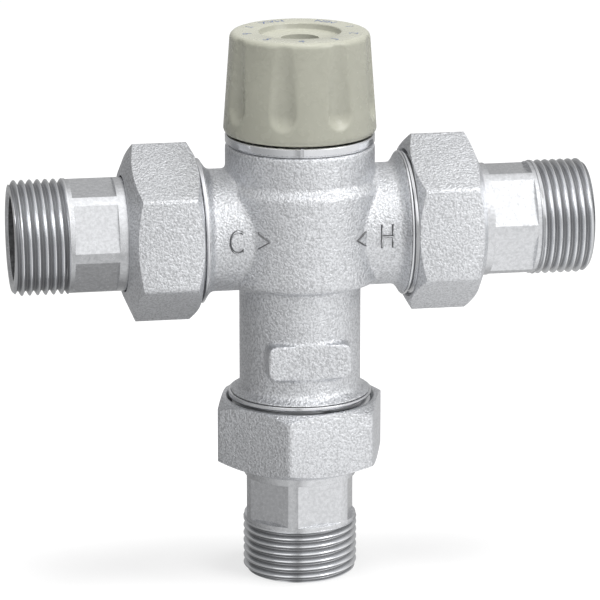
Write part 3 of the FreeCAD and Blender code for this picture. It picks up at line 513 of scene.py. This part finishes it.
# Heights are above the inlets' axis, and the pad's front and back are places on the y axis.
COLLAR_LENGTH = 0.4 * MM
UNDERCUT = -12.7 * MM  # where the stem ends under the bulge
BULGE_FOOT, BULGE_TOP = -10.3 * MM, 9.9 * MM
RIM_START = 12.0 * MM
FLARE_REACH, FLARE_CURVE, FLARE_STEPS = 2.2 * MM, 1.7, 8
NECK_START = -4 * MM
PAD_WIDTH, PAD_HEIGHT, PAD_CORNER = 19.3 * MM, 8.2 * MM, 1.8 * MM
PAD_LOW = -32.8 * MM
PAD_FRONT, PAD_BACK = -14.3 * MM, -7.0 * MM
BONNET_SEAT = 15.5 * MM
CASTING_SIDES, PORT_SIDES = 160, 128
SOFTENING, SOFTENINGS = 0.5, 5
FLAT = 0.9  # a face is an end where its normal leans on the axis by this much


def core_section(sizes):
    """Outside of the casting's upright part, from the outlet's collar to the rim."""
    collar = OUTLET_FACE - sizes.union_thread_length - COLLAR_LENGTH
    stem, bulge, rim = sizes.stem_radius, sizes.bulge_radius, sizes.rim_radius
    return [
        (0.0, -collar), (sizes.union_thread_radius, -collar),
        *flare_points(stem, sizes.union_thread_radius, -collar, 1),
        (stem, UNDERCUT), (bulge - 1.1 * MM, UNDERCUT + 0.9 * MM), (bulge - 0.3 * MM, BULGE_FOOT - 1.0 * MM),
        (bulge, BULGE_FOOT), (bulge, BULGE_TOP), (bulge - 0.3 * MM, BULGE_TOP + 0.8 * MM), (rim, RIM_START),
        (rim, RIM_HEIGHT - 0.5 * MM), (rim - 0.35 * MM, RIM_HEIGHT), (0.0, RIM_HEIGHT),
    ]


def flare_points(neck, edge, collar, towards):
    """Concave cone from a collar back to a neck; towards is the direction away from the collar."""
    points = []
    for i in range(1, FLARE_STEPS + 1):
        part = i / FLARE_STEPS
        radius = neck + (edge - neck) * (1 - part) ** FLARE_CURVE
        points.append((radius, collar + towards * FLARE_REACH * part))
    return points


def neck_section(sizes):
    """Outside of an inlet neck, from inside the upright part to its collar."""
    collar = INLET_FACE - sizes.union_thread_length - COLLAR_LENGTH
    neck = sizes.neck_radius
    flare = flare_points(neck, sizes.union_thread_radius, collar, -1)
    inside = [(0.0, NECK_START), (neck, NECK_START)]
    return inside + flare[::-1] + [(sizes.union_thread_radius, collar), (0.0, collar)]


def pad_corners():
    """Outline (x, z) of the raised pad on the stem's front."""
    low = AXIS_HEIGHT + PAD_LOW
    points = []
    for cx, cz, first in ((1, 0, -90), (1, 1, 0), (-1, 1, 90), (-1, 0, 180)):
        centre = (cx * (PAD_WIDTH / 2 - PAD_CORNER), low + PAD_CORNER + cz * (PAD_HEIGHT - 2 * PAD_CORNER))
        points += arc_points(centre, PAD_CORNER, first, first + 90, 6)
    return points


def add_pad(mesh):
    """Closed rounded block whose front is the pad's face."""
    outline = pad_corners()
    front = [mesh.verts.new((x, PAD_FRONT, z)) for x, z in outline]
    back = [mesh.verts.new((x, PAD_BACK, z)) for x, z in outline]
    mesh.faces.new(front)
    mesh.faces.new(list(reversed(back)))
    count = len(outline)
    for i in range(count):
        j = (i + 1) % count
        mesh.faces.new((front[j], front[i], back[i], back[j]))


def make_casting(sizes):
    """Blasted outside: the upright, both necks and the pad, grown together with soft inner corners."""
    mesh = bmesh.new()
    angles = even_angles(CASTING_SIDES)
    lathe([ring_at(r, z) for r, z in core_section(sizes)], angles, on_stem, None, mesh)
    for port in ("cold", "hot"):
        lathe([ring_at(r, s) for r, s in neck_section(sizes)], angles, on_port, port, mesh)
    add_pad(mesh)
    made = solid_object("casting", mesh, [finish(cast_chrome)])
    grow = made.modifiers.new("grow together", "REMESH")
    grow.mode = "VOXEL"
    grow.voxel_size = sizes.casting_grid
    grow.use_smooth_shade = True
    soften = made.modifiers.new("soften", "SMOOTH")
    soften.factor = SOFTENING
    soften.iterations = SOFTENINGS
    apply_modifiers(made)
    open_casting(made, sizes)
    made.data.materials.clear()
    made.data.materials.append(finish(cast_chrome))
    return made


def open_casting(made, sizes):
    """Takes away the flat ends, which the machined rings and the bonnet close."""
    mesh = bmesh.new()
    mesh.from_mesh(made.data)
    hidden = sizes.union_thread_length + 2 * COLLAR_LENGTH
    side = INLET_FACE - hidden
    bottom = AXIS_HEIGHT - (OUTLET_FACE - hidden)
    top = AXIS_HEIGHT + RIM_HEIGHT - 0.3 * MM
    ends = []
    for face in mesh.faces:
        x, y, z = face.calc_center_median()
        flat_side = abs(x) > side and abs(face.normal.x) > FLAT
        flat_bottom = z < bottom and face.normal.z < -FLAT
        flat_top = z > top and face.normal.z > FLAT and math.hypot(x, y) < BONNET_SEAT
        if flat_side or flat_bottom or flat_top:
            ends.append(face)
    bmesh.ops.delete(mesh, geom=ends, context="FACES")
    mesh.to_mesh(made.data)
    mesh.free()
    made.data.shade_smooth()


OUTLET_BORE, INLET_BORE, CHECK_RECESS = 11.1 * MM, 11.0 * MM, 12.28 * MM
BORE_DEPTH, RECESS_DEPTH = 16 * MM, 2.0 * MM
THREAD_CHAMFER = 0.7 * MM
COLLAR_FOOT, COLLAR_DEPTH, COLLAR_ROUND = 0.42 * MM, 1.6 * MM, 0.12 * MM


def make_port_ring(port, sizes):
    """Machined end of a port: collar, union thread, face, and an inlet's recess for its check valve."""
    outlet = port == "outlet"
    face = OUTLET_FACE if outlet else INLET_FACE
    start = face - sizes.union_thread_length
    major, pitch = sizes.union_thread_radius, sizes.union_thread_pitch
    angles = even_angles(PORT_SIDES)
    bore = OUTLET_BORE if outlet else INLET_BORE
    recess = bore if outlet else CHECK_RECESS
    step = face - RECESS_DEPTH
    foot = start - COLLAR_FOOT

    def radius_at(along, phase):
        ease = min(1.0, (along - start) / (0.5 * pitch))
        cut = major - whitworth(major, pitch, phase)
        return min(major - cut * ease, major - THREAD_CHAMFER + (face - along))

    mesh = lathe([
        ring_at(bore, face - BORE_DEPTH), ring_at(bore, step), ring_at(recess, step),
        ring_at(recess, face), ring_at(major - THREAD_CHAMFER, face),
    ], angles, on_port, port)
    lathe([
        ring_at(major - COLLAR_DEPTH, foot), ring_at(major - COLLAR_ROUND, foot),
        ring_at(major, foot + COLLAR_ROUND), ring_at(major, start),
    ], angles, on_port, port, mesh)
    cut_thread(mesh, radius_at, start, face, pitch, angles, port)
    finishes = [finish(bright_chrome), finish(thread_chrome)]
    return solid_object(port + "_port_end", mesh, finishes)


# ---------------------------------------------------------------- marks cast on the body

LETTER_SIZE, LETTER_SQUEEZE = 8.2 * MM, 0.65
ARROW_LENGTH, ARROW_WIDTH = 3.4 * MM, 4.2 * MM
MARK_DRAFT = 0.28 * MM
MARK_FOOT = 0.05 * MM
LONGEST_EDGE = 0.7 * MM
# Letter, side of the casting, its middle along the necks, and its arrow's heading in degrees and height.
MARKS = (("C", -1, -16.9 * MM, 35.0, 0.6 * MM), ("H", 1, 17.8 * MM, 38.0, 0.0))


def outline_mesh(text, size, squeeze=1.0):
    """Flat mesh of a letter, finely divided, with its middle at the origin; squeeze narrows it."""
    curve = bpy.data.curves.new("letter", "FONT")
    curve.body = text
    curve.size = size
    curve.align_x = "CENTER"
    curve.align_y = "CENTER"
    curve.resolution_u = 6
    carrier = bpy.data.objects.new("letter", curve)
    bpy.context.scene.collection.objects.link(carrier)
    depsgraph = bpy.context.evaluated_depsgraph_get()
    data = bpy.data.meshes.new_from_object(carrier.evaluated_get(depsgraph))
    mesh = bmesh.new()
    mesh.from_mesh(data)
    bmesh.ops.scale(mesh, vec=(squeeze, 1.0, 1.0), verts=mesh.verts)
    bpy.data.objects.remove(carrier)
    bpy.data.curves.remove(curve)
    bpy.data.meshes.remove(data)
    return mesh


def divide(mesh):
    """Welds a flat outline and cuts its long edges, so that it can follow a curved surface."""
    bmesh.ops.remove_doubles(mesh, verts=mesh.verts, dist=WELD)
    for _ in range(2):
        long_edges = [edge for edge in mesh.edges if edge.calc_length() > LONGEST_EDGE]
        if long_edges:
            bmesh.ops.subdivide_edges(mesh, edges=long_edges, cuts=1)
            bmesh.ops.triangulate(mesh, faces=[face for face in mesh.faces if len(face.verts) > 4])
    mesh.normal_update()


def emboss(mesh, wrap, height):
    """Raises a flat outline as cast metal is, with sloping sides that take the second finish, which the marks
    give painted shade.
    """
    divide(mesh)
    sides = bmesh.ops.inset_region(
        mesh, faces=mesh.faces[:], thickness=MARK_DRAFT, use_boundary=True, use_even_offset=True)
    for face in sides["faces"]:
        face.material_index = 1
    foot = {vert for vert in mesh.verts if vert.is_boundary}
    for vert in mesh.verts:
        vert.co = wrap(vert.co.x, vert.co.y, -MARK_FOOT if vert in foot else height)
    return mesh


def in_fixed_order(elements, place):
    """Sorts vertices or faces by place, since extruding leaves them in another order each run."""
    ranks = {element: rank for rank, element in enumerate(sorted(elements, key=place))}
    elements.sort(key=ranks.get)


def raise_from(mesh, wrap):
    """Gives a flat outline a print's thickness on a surface; wrap turns (x, y, lift) into a point."""
    divide(mesh)
    made = bmesh.ops.extrude_face_region(mesh, geom=mesh.faces[:])
    top = {element for element in made["geom"] if isinstance(element, bmesh.types.BMVert)}
    for vert in mesh.verts:
        vert.co = wrap(vert.co.x, vert.co.y, PRINT_THICKNESS if vert in top else -PRINT_FOOT)
    in_fixed_order(mesh.verts, lambda vert: vert.co[:])
    in_fixed_order(mesh.faces, lambda face: face.calc_center_median()[:])
    return mesh


def arrow_outline():
    """Flat triangle that points to +x."""
    mesh = bmesh.new()
    tip, tail, side = ARROW_LENGTH / 2, -ARROW_LENGTH / 2, ARROW_WIDTH / 2
    mesh.faces.new([mesh.verts.new(corner) for corner in ((tail, -side, 0), (tip, 0, 0), (tail, side, 0))])
    for _ in range(3):
        bmesh.ops.subdivide_edges(mesh, edges=mesh.edges[:], cuts=1, use_grid_fill=True)
    return mesh


def make_marks(sizes):
    """C and H beside the inlets and the arrows of the flow, raised as cast."""
    made = []
    # The marks' sides take painted shade, so that their edges show as dark lines.
    finishes = [finish(cast_chrome), finish(shaded_chrome)]
    for text, side, centre, heading, rise in MARKS:

        def on_neck(x, y, lift, centre=centre):
            radius = sizes.neck_radius + lift
            angle = y / sizes.neck_radius
            return Vector((centre + x, -radius * math.cos(angle), AXIS_HEIGHT + radius * math.sin(angle)))

        def on_bulge(x, y, lift, side=side, heading=heading, rise=rise):
            radius = sizes.bulge_radius + lift
            angle = side * (math.radians(heading) - x / sizes.bulge_radius)
            height = AXIS_HEIGHT + rise - side * y
            return Vector((radius * math.sin(angle), -radius * math.cos(angle), height))

        letter = emboss(outline_mesh(text, LETTER_SIZE, LETTER_SQUEEZE), on_neck, sizes.mark_height)
        made.append(solid_object("mark_" + text, letter, finishes))
        arrow = emboss(arrow_outline(), on_bulge, sizes.mark_height)
        made.append(solid_object("arrow_" + text, arrow, finishes))
    return made


# ---------------------------------------------------------------- nuts and tails

NUT_TURNS = {"cold": 33.0, "hot": -33.0, "outlet": 16.0}  # degrees
TAIL_TURNS = {"cold": -10.4, "hot": 0.0, "outlet": 16.5}
INNER_SLOPE, OUTER_SLOPE = math.tan(math.radians(30.0)), math.tan(math.radians(24.0))
NUT_OUTER = 14.6 * MM  # radius of the nut's end towards the pipe
NUT_LIP = 2.9 * MM
NUT_ROUND, CAST_EDGE = 0.5 * MM, 0.45 * MM
CORNER_REACH = math.radians(3.6)
NECK_PLAY, THREAD_PLAY = 0.3 * MM, 0.06 * MM
TAIL_COLLAR, TAIL_COLLAR_LENGTH = 15.6 * MM, 3.0 * MM
FLATS_LENGTH, FLATS_GAP = 10.0 * MM, 0.9 * MM
TAIL_CHAMFER, BORE_CHAMFER = 1.0 * MM, 0.6 * MM
SECTION_SIDES = 96


def port_end(port):
    """Distance of a pipe tail's end from the crossing of the axes."""
    return AXIS_HEIGHT if port == "outlet" else INLET_END


def hexagon_radius(angle, width, rounding, turn):
    """Distance from the axis to a hexagon's rounded side."""
    sixth = math.pi / 3
    away = (angle - turn + sixth / 2) % sixth - sixth / 2
    flat = width / 2 / math.cos(sixth / 2 - abs(away))
    inner = width / 2 - rounding
    corner = inner / math.cos(sixth / 2)
    across = corner * math.sin(abs(away))
    if across < rounding * math.sin(sixth / 2) + 1e-9:
        return corner * math.cos(away) + math.sqrt(rounding ** 2 - across ** 2)
    return flat


def hexagon_corners(turn, spread_angle):
    """Angles round each corner that a hexagon's mesh must hold."""
    angles = []
    for i in range(6):
        middle = turn + i * math.pi / 3
        angles += [middle + spread_angle * part / 3 for part in range(-3, 4)]
    return angles


def make_nut(port, sizes):
    """Cast union nut: six rounded sides, a chamfer towards the body and a long cone towards the tail."""
    end = port_end(port) - INLET_END + NUT_END
    start = end - sizes.nut_length
    turn = math.radians(NUT_TURNS[port])
    width, rounding = sizes.nut_width, sizes.nut_corner
    inner, outer = width / 2, NUT_OUTER
    neck = sizes.tail_radius + NECK_PLAY
    mouth = sizes.union_thread_radius + THREAD_PLAY
    shoulder = end - NUT_LIP

    def side(angle):
        return hexagon_radius(angle, width, rounding, turn)

    def inner_edge(angle):
        return side(angle), start + (side(angle) - inner) * INNER_SLOPE

    def outer_edge(angle):
        return side(angle), end - (side(angle) - outer) * OUTER_SLOPE

    rings = [
        ring_at(neck, end - 1.0 * MM), ring_at(neck, shoulder), ring_at(mouth, shoulder),
        ring_at(mouth, start + NUT_ROUND), ring_at(mouth + NUT_ROUND, start), ring_at(inner, start),
        inner_edge, outer_edge,
        ring_at(outer, end), ring_at(neck + 0.15 * MM, end), ring_at(neck, end - 0.15 * MM),
    ]
    angles = angles_with(SECTION_SIDES, hexagon_corners(turn, CORNER_REACH))
    mesh = lathe(rings, angles, on_port, port)
    made = solid_object(port + "_union_nut", mesh, [finish(cast_chrome)], sharp=12.0)
    soften = made.modifiers.new("cast edges", "BEVEL")
    soften.width = CAST_EDGE
    soften.segments = 3
    soften.limit_method = "ANGLE"
    soften.angle_limit = math.radians(14.0)
    apply_modifiers(made)
    made.data.shade_smooth()
    made.data.set_sharp_from_angle(angle=math.radians(30.0))
    return made


def make_tail(port, sizes):
    """Pipe tail: collar, plain barrel with six milled flats, and a real pipe thread."""
    end = port_end(port)
    start = end - TAIL_LENGTH
    thread_start = end - sizes.pipe_thread_length
    flats_end = thread_start - FLATS_GAP
    flats_start = flats_end - FLATS_LENGTH
    collar_end = start + TAIL_COLLAR_LENGTH
    barrel, bore = sizes.tail_radius, sizes.tail_bore_radius
    major, pitch = sizes.pipe_thread_radius, sizes.pipe_thread_pitch
    turn = math.radians(TAIL_TURNS[port])
    half = sizes.flats_width / 2
    reach = math.acos(half / barrel)
    facets = [turn + math.pi / 6 + i * math.pi / 3 for i in range(6)]

    def milled(angle):
        for facet in facets:
            away = (angle - facet + math.pi) % (2 * math.pi) - math.pi
            if abs(away) <= reach + 1e-6:
                return half / math.cos(away)
        return barrel

    def radius_at(along, phase):
        ease = min(1.0, (along - thread_start) / (0.45 * pitch))
        cut = major - whitworth(major, pitch, phase)
        return min(major - cut * ease, major - TAIL_CHAMFER + (end - along))

    corners = [facet + sign * reach for facet in facets for sign in (-1, 1)]
    angles = angles_with(SECTION_SIDES, corners)
    mesh = lathe([
        ring_at(bore, start), ring_at(TAIL_COLLAR, start), ring_at(TAIL_COLLAR, collar_end),
        ring_at(barrel, collar_end), ring_at(barrel, flats_start),
        lambda angle: (milled(angle), flats_start), lambda angle: (milled(angle), flats_end),
        ring_at(barrel, flats_end), ring_at(barrel, thread_start), ring_at(major, thread_start),
    ], angles, on_port, port)
    lathe([
        ring_at(major - TAIL_CHAMFER, end), ring_at(bore + BORE_CHAMFER, end),
        ring_at(bore, end - BORE_CHAMFER),
    ], angles, on_port, port, mesh)
    # The bore's faces take the third finish, painted shade.
    outside = len(mesh.faces)
    lathe([ring_at(bore, end - BORE_CHAMFER), ring_at(bore, start)], angles, on_port, port, mesh)
    mesh.faces.ensure_lookup_table()
    for face in mesh.faces[outside:]:
        face.material_index = 2
    cut_thread(mesh, radius_at, thread_start, end, pitch, angles, port)
    finishes = [finish(milled_chrome), finish(thread_chrome),
                finish(shaded_chrome)]
    return solid_object(port + "_pipe_tail", mesh, finishes, sharp=17.0)


# ---------------------------------------------------------------- knob

KNOB_FOOT_RADIUS, KNOB_TOP_RADIUS = 17.5 * MM, 16.0 * MM
FOOT_ROUND, TOP_ROUND = 1.3 * MM, 1.4 * MM
SECTION_STEPS, KNOB_SIDES = 56, 320
FLUTE_CENTRE = 20.7 * MM  # from the knob's axis to the axis of the rod that cuts a flute
FLUTE_FOOT = 7.3 * MM
FLUTE_BLEND = 0.5 * MM
FIRST_FLUTE = math.radians(-67.5)
SKIRT_RADIUS, SKIRT_DEPTH = 13.4 * MM, 9 * MM
DISH_RADIUS, DISH_DEPTH = 9.3 * MM, 1.5 * MM
PIT_RADIUS, PIT_DEPTH = 4.2 * MM, 3.2 * MM
SCREW_HOLE = 2.0 * MM  # radius
SCALE_RADIUS, SCALE_SIZE = 12.6 * MM, 3.0 * MM
SCALE_START, SCALE_SPAN = 52.0, -300.0  # degrees
SCALE = ("MIN", "1", "2", "3", "4", "5", "6", "7", "MAX")
PRINT_FOOT = 0.05 * MM


def smooth_least(first, second, blend):
    """Smaller of two sizes, with a rounded change from one to the other."""
    part = max(0.0, min(1.0, 0.5 + 0.5 * (second - first) / blend))
    return second * (1 - part) + first * part - blend * part * (1 - part)


def knob_section():
    """Outside of the knob without flutes: rounded foot, slight taper, rounded top edge."""
    foot_centre = (KNOB_FOOT_RADIUS - FOOT_ROUND, KNOB_BASE + FOOT_ROUND)
    foot = arc_points(foot_centre, FOOT_ROUND, -88, 3, 8)
    edge = arc_points((KNOB_TOP_RADIUS - TOP_ROUND, KNOB_TOP - TOP_ROUND), TOP_ROUND, 3, 88, 8)
    first, last = foot[-1], edge[0]
    side = []
    for i in range(1, SECTION_STEPS):
        part = i / SECTION_STEPS
        side.append((first[0] + (last[0] - first[0]) * part, first[1] + (last[1] - first[1]) * part))
    return foot + side + edge


def fluted(radius, height, angle, sizes):
    """Radius of the knob's side where the flutes are cut by upright rods with round lower ends."""
    spacing = 2 * math.pi / sizes.flute_count
    away = (angle - FIRST_FLUTE + spacing / 2) % spacing - spacing / 2
    rod = sizes.flute_radius
    foot = KNOB_BASE + FLUTE_FOOT
    if height < foot:
        rod = math.sqrt(max(rod ** 2 - (foot - height) ** 2, 0.0))
    beside = FLUTE_CENTRE * math.sin(away)
    if rod <= abs(beside):
        return radius
    floor = FLUTE_CENTRE * math.cos(away) - math.sqrt(rod ** 2 - beside ** 2)
    return min(radius, smooth_least(radius, floor, FLUTE_BLEND))


def make_knob(sizes):
    """Fluted plastic knob with a dished top and a pit for its screw."""
    dish = KNOB_TOP - DISH_DEPTH
    pit = dish - PIT_DEPTH
    skirt = (
        (SKIRT_RADIUS, KNOB_BASE + SKIRT_DEPTH), (SKIRT_RADIUS, KNOB_BASE + 0.4 * MM),
        (SKIRT_RADIUS + 0.4 * MM, KNOB_BASE), (KNOB_FOOT_RADIUS - 1.6 * MM, KNOB_BASE),
    )
    top = (
        (KNOB_TOP_RADIUS - 1.7 * MM, KNOB_TOP), (DISH_RADIUS + 0.4 * MM, KNOB_TOP),
        (DISH_RADIUS + 0.15 * MM, KNOB_TOP - 0.08 * MM), (DISH_RADIUS, KNOB_TOP - 0.3 * MM),
        (DISH_RADIUS - 0.1 * MM, dish + 0.3 * MM), (DISH_RADIUS - 0.4 * MM, dish),
        (PIT_RADIUS + 0.4 * MM, dish), (PIT_RADIUS + 0.1 * MM, dish - 0.1 * MM),
        (PIT_RADIUS, dish - 0.4 * MM), (PIT_RADIUS - 0.1 * MM, pit + 0.2 * MM),
        (PIT_RADIUS - 0.3 * MM, pit), (SCREW_HOLE, pit), (SCREW_HOLE, pit - 2 * MM),
    )
    rings = [ring_at(radius, height) for radius, height in skirt]
    for radius, height in knob_section():
        rings.append(lambda angle, r=radius, z=height: (fluted(r, z, angle, sizes), z))
    rings += [ring_at(radius, height) for radius, height in top]
    mesh = lathe(rings, even_angles(KNOB_SIDES), on_stem)
    return solid_object("fluted_knob", mesh, [finish(knob_plastic)], sharp=50.0)


def make_knob_print():
    """Scale printed round the knob's top: plain numbers between MIN and MAX."""
    made = []
    for i, text in enumerate(SCALE):
        heading = math.radians(SCALE_START + SCALE_SPAN * i / (len(SCALE) - 1))

        def on_top(x, y, lift, heading=heading):
            angle = heading + x / SCALE_RADIUS
            radius = SCALE_RADIUS - y
            return Vector((radius * math.cos(angle), radius * math.sin(angle), AXIS_HEIGHT + KNOB_TOP + lift))

        number = raise_from(outline_mesh(text, SCALE_SIZE), on_top)
        made.append(solid_object("print_" + text, number, [finish(knob_print)]))
    return made


# ---------------------------------------------------------------- stage

FLOOR_REACH = 3.0
BLACK, WHITE = (0.0, 0.0, 0.0), (1.0, 1.0, 1.0)
# Shares of the floor that glow, so that the camera and metal see it pale and it keeps the valve's shadow.
CAMERA_GLOW, METAL_GLOW = 0.72, 0.9
FLOOR_LEVEL = 0.95
MATT_SHARE = 0.45  # share of the world's strength that lights matt surfaces


def make_floor():
    """Pale floor that the outlet's end stands on."""
    mesh = bmesh.new()
    bmesh.ops.create_grid(mesh, x_segments=8, y_segments=8, size=FLOOR_REACH)
    solid_object("floor", mesh, [finish(floor_paint)])


def floor_paint(graph, colours):
    """Plain paint that the camera sees evenly pale, and metal at the studio's level in each direction."""
    paint = graph.node("ShaderNodeBsdfPrincipled", None, {"Base Color": colours.floor, "Roughness": 0.9})
    place = graph.node("ShaderNodeNewGeometry").out("Position")
    parts = graph.node("ShaderNodeSeparateXYZ", None, {0: place})
    across, deep = parts.out("X"), parts.out("Y")
    squared = across * across + deep * deep + 0.0001
    away = graph.node("ShaderNodeMath", {"operation": "SQRT"}, {0: squared}).out("Value")
    level = surroundings(graph, across / away, deep / away) * FLOOR_LEVEL
    path = graph.node("ShaderNodeLightPath")
    camera, metal = path.out("Is Camera Ray"), path.out("Is Glossy Ray")
    shown = graph.mix(metal, graph.mix(camera, BLACK, WHITE), graph.mix(level, BLACK, WHITE))
    glow = graph.node("ShaderNodeEmission", None, {"Color": shown, "Strength": 1.0})
    graph.blend("ShaderNodeOutputMaterial", camera * CAMERA_GLOW + metal * METAL_GLOW, paint, glow)


def between(graph, value, first, last, low, high):
    """Value carried from the span first to last on to the span low to high, and kept in it."""
    return graph.node("ShaderNodeMapRange", None, {
        "Value": value, "From Min": first, "From Max": last, "To Min": low, "To Max": high,
    }).out("Result")


def surroundings(graph, across, deep):
    """Level of the studio by heading: dim on the left and behind, with a narrow dark gap in front."""
    side = between(graph, across, -1.0, 0.1, 0.32, 1.0)
    behind = between(graph, deep, -0.1, 0.6, 1.0, 0.45)
    gap = between(graph, abs(across + 0.2), 0.03, 0.14, 0.6, 0.0)
    ahead = between(graph, deep, -0.6, -0.2, 1.0, 0.0)
    return side * behind * (1.0 - gap * ahead)


def light_world():
    """White to the camera; a soft studio, brighter overhead, to the valve."""
    world = bpy.data.worlds.new("studio")
    bpy.context.scene.world = world
    graph = Graph(world)
    path = graph.node("ShaderNodeLightPath")
    heading = graph.node("ShaderNodeTexCoord").out("Generated")
    parts = graph.node("ShaderNodeSeparateXYZ", None, {0: heading})
    tall = between(graph, parts.out("Z"), 0.1, 0.95, 1.05, 1.6)
    share = MATT_SHARE + path.out("Is Glossy Ray") * (1 - MATT_SHARE)
    strength = surroundings(graph, parts.out("X"), parts.out("Y")) * tall * share
    studio = graph.node("ShaderNodeBackground", None, {"Color": WHITE, "Strength": strength})
    plain = graph.node("ShaderNodeBackground", None, {"Color": WHITE, "Strength": 1.0})
    graph.blend("ShaderNodeOutputWorld", path.out("Is Camera Ray"), studio, plain)


def add_lamp(name, place, size, power, mirrored=True):
    """Square soft lamp aimed at the middle of the valve; mirrored says whether metal shows it."""
    data = bpy.data.lights.new(name, "AREA")
    data.shape = "SQUARE"
    data.size = size
    data.energy = power
    lamp = bpy.data.objects.new(name, data)
    lamp.location = place
    lamp.visible_glossy = mirrored
    aim = Vector((0.0, 0.0, AXIS_HEIGHT)) - lamp.location
    lamp.rotation_euler = aim.to_track_quat("-Z", "Y").to_euler()
    bpy.context.scene.collection.objects.link(lamp)


def add_camera():
    """Long lens, a little to the left of the front and a little above."""
    heading, rise, reach = math.radians(9.785), math.radians(15.058), 900.223 * MM
    target = Vector((0.037 * MM, 0.0, AXIS_HEIGHT - 17.535 * MM))
    back = Vector((-math.sin(heading) * math.cos(rise), -math.cos(heading) * math.cos(rise), math.sin(rise)))
    data = bpy.data.cameras.new("camera")
    data.lens = 234.0
    data.sensor_width = 36.0
    camera = bpy.data.objects.new("camera", data)
    camera.location = target + back * reach
    camera.rotation_euler = (-back).to_track_quat("-Z", "Y").to_euler()
    bpy.context.scene.collection.objects.link(camera)
    bpy.context.scene.camera = camera


# ---------------------------------------------------------------- operators

def settle(made, body, slot, *nodes):
    """Says what a piece moves with and hides the fixed nodes that it stands for; slot is not used."""
    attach(made, body)
    if nodes:
        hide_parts(*nodes)


class VALVE_OT_casting(bpy.types.Operator):
    """Build the blasted casting"""
    bl_idname = "valve.casting"
    bl_label = "Casting"

    def execute(self, context):
        settle(make_casting(context.scene.valve_sizes), "body", "cast_chrome", "valve_body")
        return {"FINISHED"}


class VALVE_OT_port_ends(bpy.types.Operator):
    """Build the threaded ends of the three ports"""
    bl_idname = "valve.port_ends"
    bl_label = "Port ends"

    def execute(self, context):
        for port in PORTS:
            settle(make_port_ring(port, context.scene.valve_sizes), "body", "turned_chrome")
        return {"FINISHED"}


class VALVE_OT_marks(bpy.types.Operator):
    """Raise the letters and arrows on the casting"""
    bl_idname = "valve.marks"
    bl_label = "Cast marks"

    def execute(self, context):
        for mark in make_marks(context.scene.valve_sizes):
            settle(mark, "body", "cast_chrome")
        return {"FINISHED"}


class VALVE_OT_union_nuts(bpy.types.Operator):
    """Build the three union nuts"""
    bl_idname = "valve.union_nuts"
    bl_label = "Union nuts"

    def execute(self, context):
        for port in PORTS:
            settle(make_nut(port, context.scene.valve_sizes), port + "_nut", "cast_chrome", port + "_nut")
        return {"FINISHED"}


class VALVE_OT_pipe_tails(bpy.types.Operator):
    """Build the three threaded pipe tails"""
    bl_idname = "valve.pipe_tails"
    bl_label = "Pipe tails"

    def execute(self, context):
        for port in PORTS:
            tail = make_tail(port, context.scene.valve_sizes)
            settle(tail, port + "_tail", "turned_chrome", port + "_tail")
        return {"FINISHED"}


class VALVE_OT_knob(bpy.types.Operator):
    """Build the fluted knob"""
    bl_idname = "valve.knob"
    bl_label = "Knob"

    def execute(self, context):
        settle(make_knob(context.scene.valve_sizes), "knob", "knob_plastic", "knob")
        return {"FINISHED"}


class VALVE_OT_knob_scale(bpy.types.Operator):
    """Print the plain scale on the knob"""
    bl_idname = "valve.knob_scale"
    bl_label = "Knob scale"

    def execute(self, context):
        for number in make_knob_print():
            settle(number, "knob", "knob_plastic")
        return {"FINISHED"}


class VALVE_OT_inner_finishes(bpy.types.Operator):
    """Give the bonnet, the screw and every inner piece its finish"""
    bl_idname = "valve.inner_finishes"
    bl_label = "Inner finishes"

    def execute(self, context):
        for make, names in NODE_FINISHES.items():
            for name in names:
                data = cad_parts[name].data
                data.materials.clear()
                data.materials.append(finish(make))
        return {"FINISHED"}


class VALVE_OT_stage(bpy.types.Operator):
    """Set up the floor, the light and the camera"""
    bl_idname = "valve.stage"
    bl_label = "Stage"

    def execute(self, context):
        context.scene.view_settings.view_transform = "Standard"
        make_floor()
        light_world()
        add_lamp("key", (0.6, -0.45, 0.7), 0.5, 2.4)
        add_lamp("overhead", (0.1, -0.1, 1.2), 0.6, 22.0, mirrored=False)
        add_lamp("fill", (-0.7, -0.6, 0.5), 0.6, 0.7)
        add_camera()
        return {"FINISHED"}


class VALVE_PT_dressing(bpy.types.Panel):
    """Lists the pieces, sizes and colours in the sidebar"""
    bl_label = "Mixing valve"
    bl_idname = "VALVE_PT_dressing"
    bl_space_type = "VIEW_3D"
    bl_region_type = "UI"
    bl_category = "Valve"

    def draw(self, context):
        layout = self.layout
        for operator in OPERATORS:
            layout.operator(operator.bl_idname)
        for group in (context.scene.valve_sizes, context.scene.valve_colours):
            box = layout.box()
            for name in group.bl_rna.properties.keys():
                if name not in ("rna_type", "name"):
                    box.prop(group, name)


OPERATORS = (
    VALVE_OT_stage, VALVE_OT_casting, VALVE_OT_port_ends, VALVE_OT_marks, VALVE_OT_union_nuts,
    VALVE_OT_pipe_tails, VALVE_OT_knob, VALVE_OT_knob_scale, VALVE_OT_inner_finishes,
)
CLASSES = (ValveSizes, ValveColours, *OPERATORS, VALVE_PT_dressing)


def register():
    for cls in CLASSES:
        bpy.utils.register_class(cls)
    bpy.types.Scene.valve_sizes = PointerProperty(type=ValveSizes)
    bpy.types.Scene.valve_colours = PointerProperty(type=ValveColours)


def unregister():
    del bpy.types.Scene.valve_colours
    del bpy.types.Scene.valve_sizes
    for cls in reversed(CLASSES):
        bpy.utils.unregister_class(cls)


def main():
    register()
    bpy.ops.valve.stage()
    bpy.ops.valve.casting()
    bpy.ops.valve.port_ends()
    bpy.ops.valve.marks()
    bpy.ops.valve.union_nuts()
    bpy.ops.valve.pipe_tails()
    bpy.ops.valve.knob()
    bpy.ops.valve.knob_scale()
    bpy.ops.valve.inner_finishes()


if __name__ == "__main__":
    main()
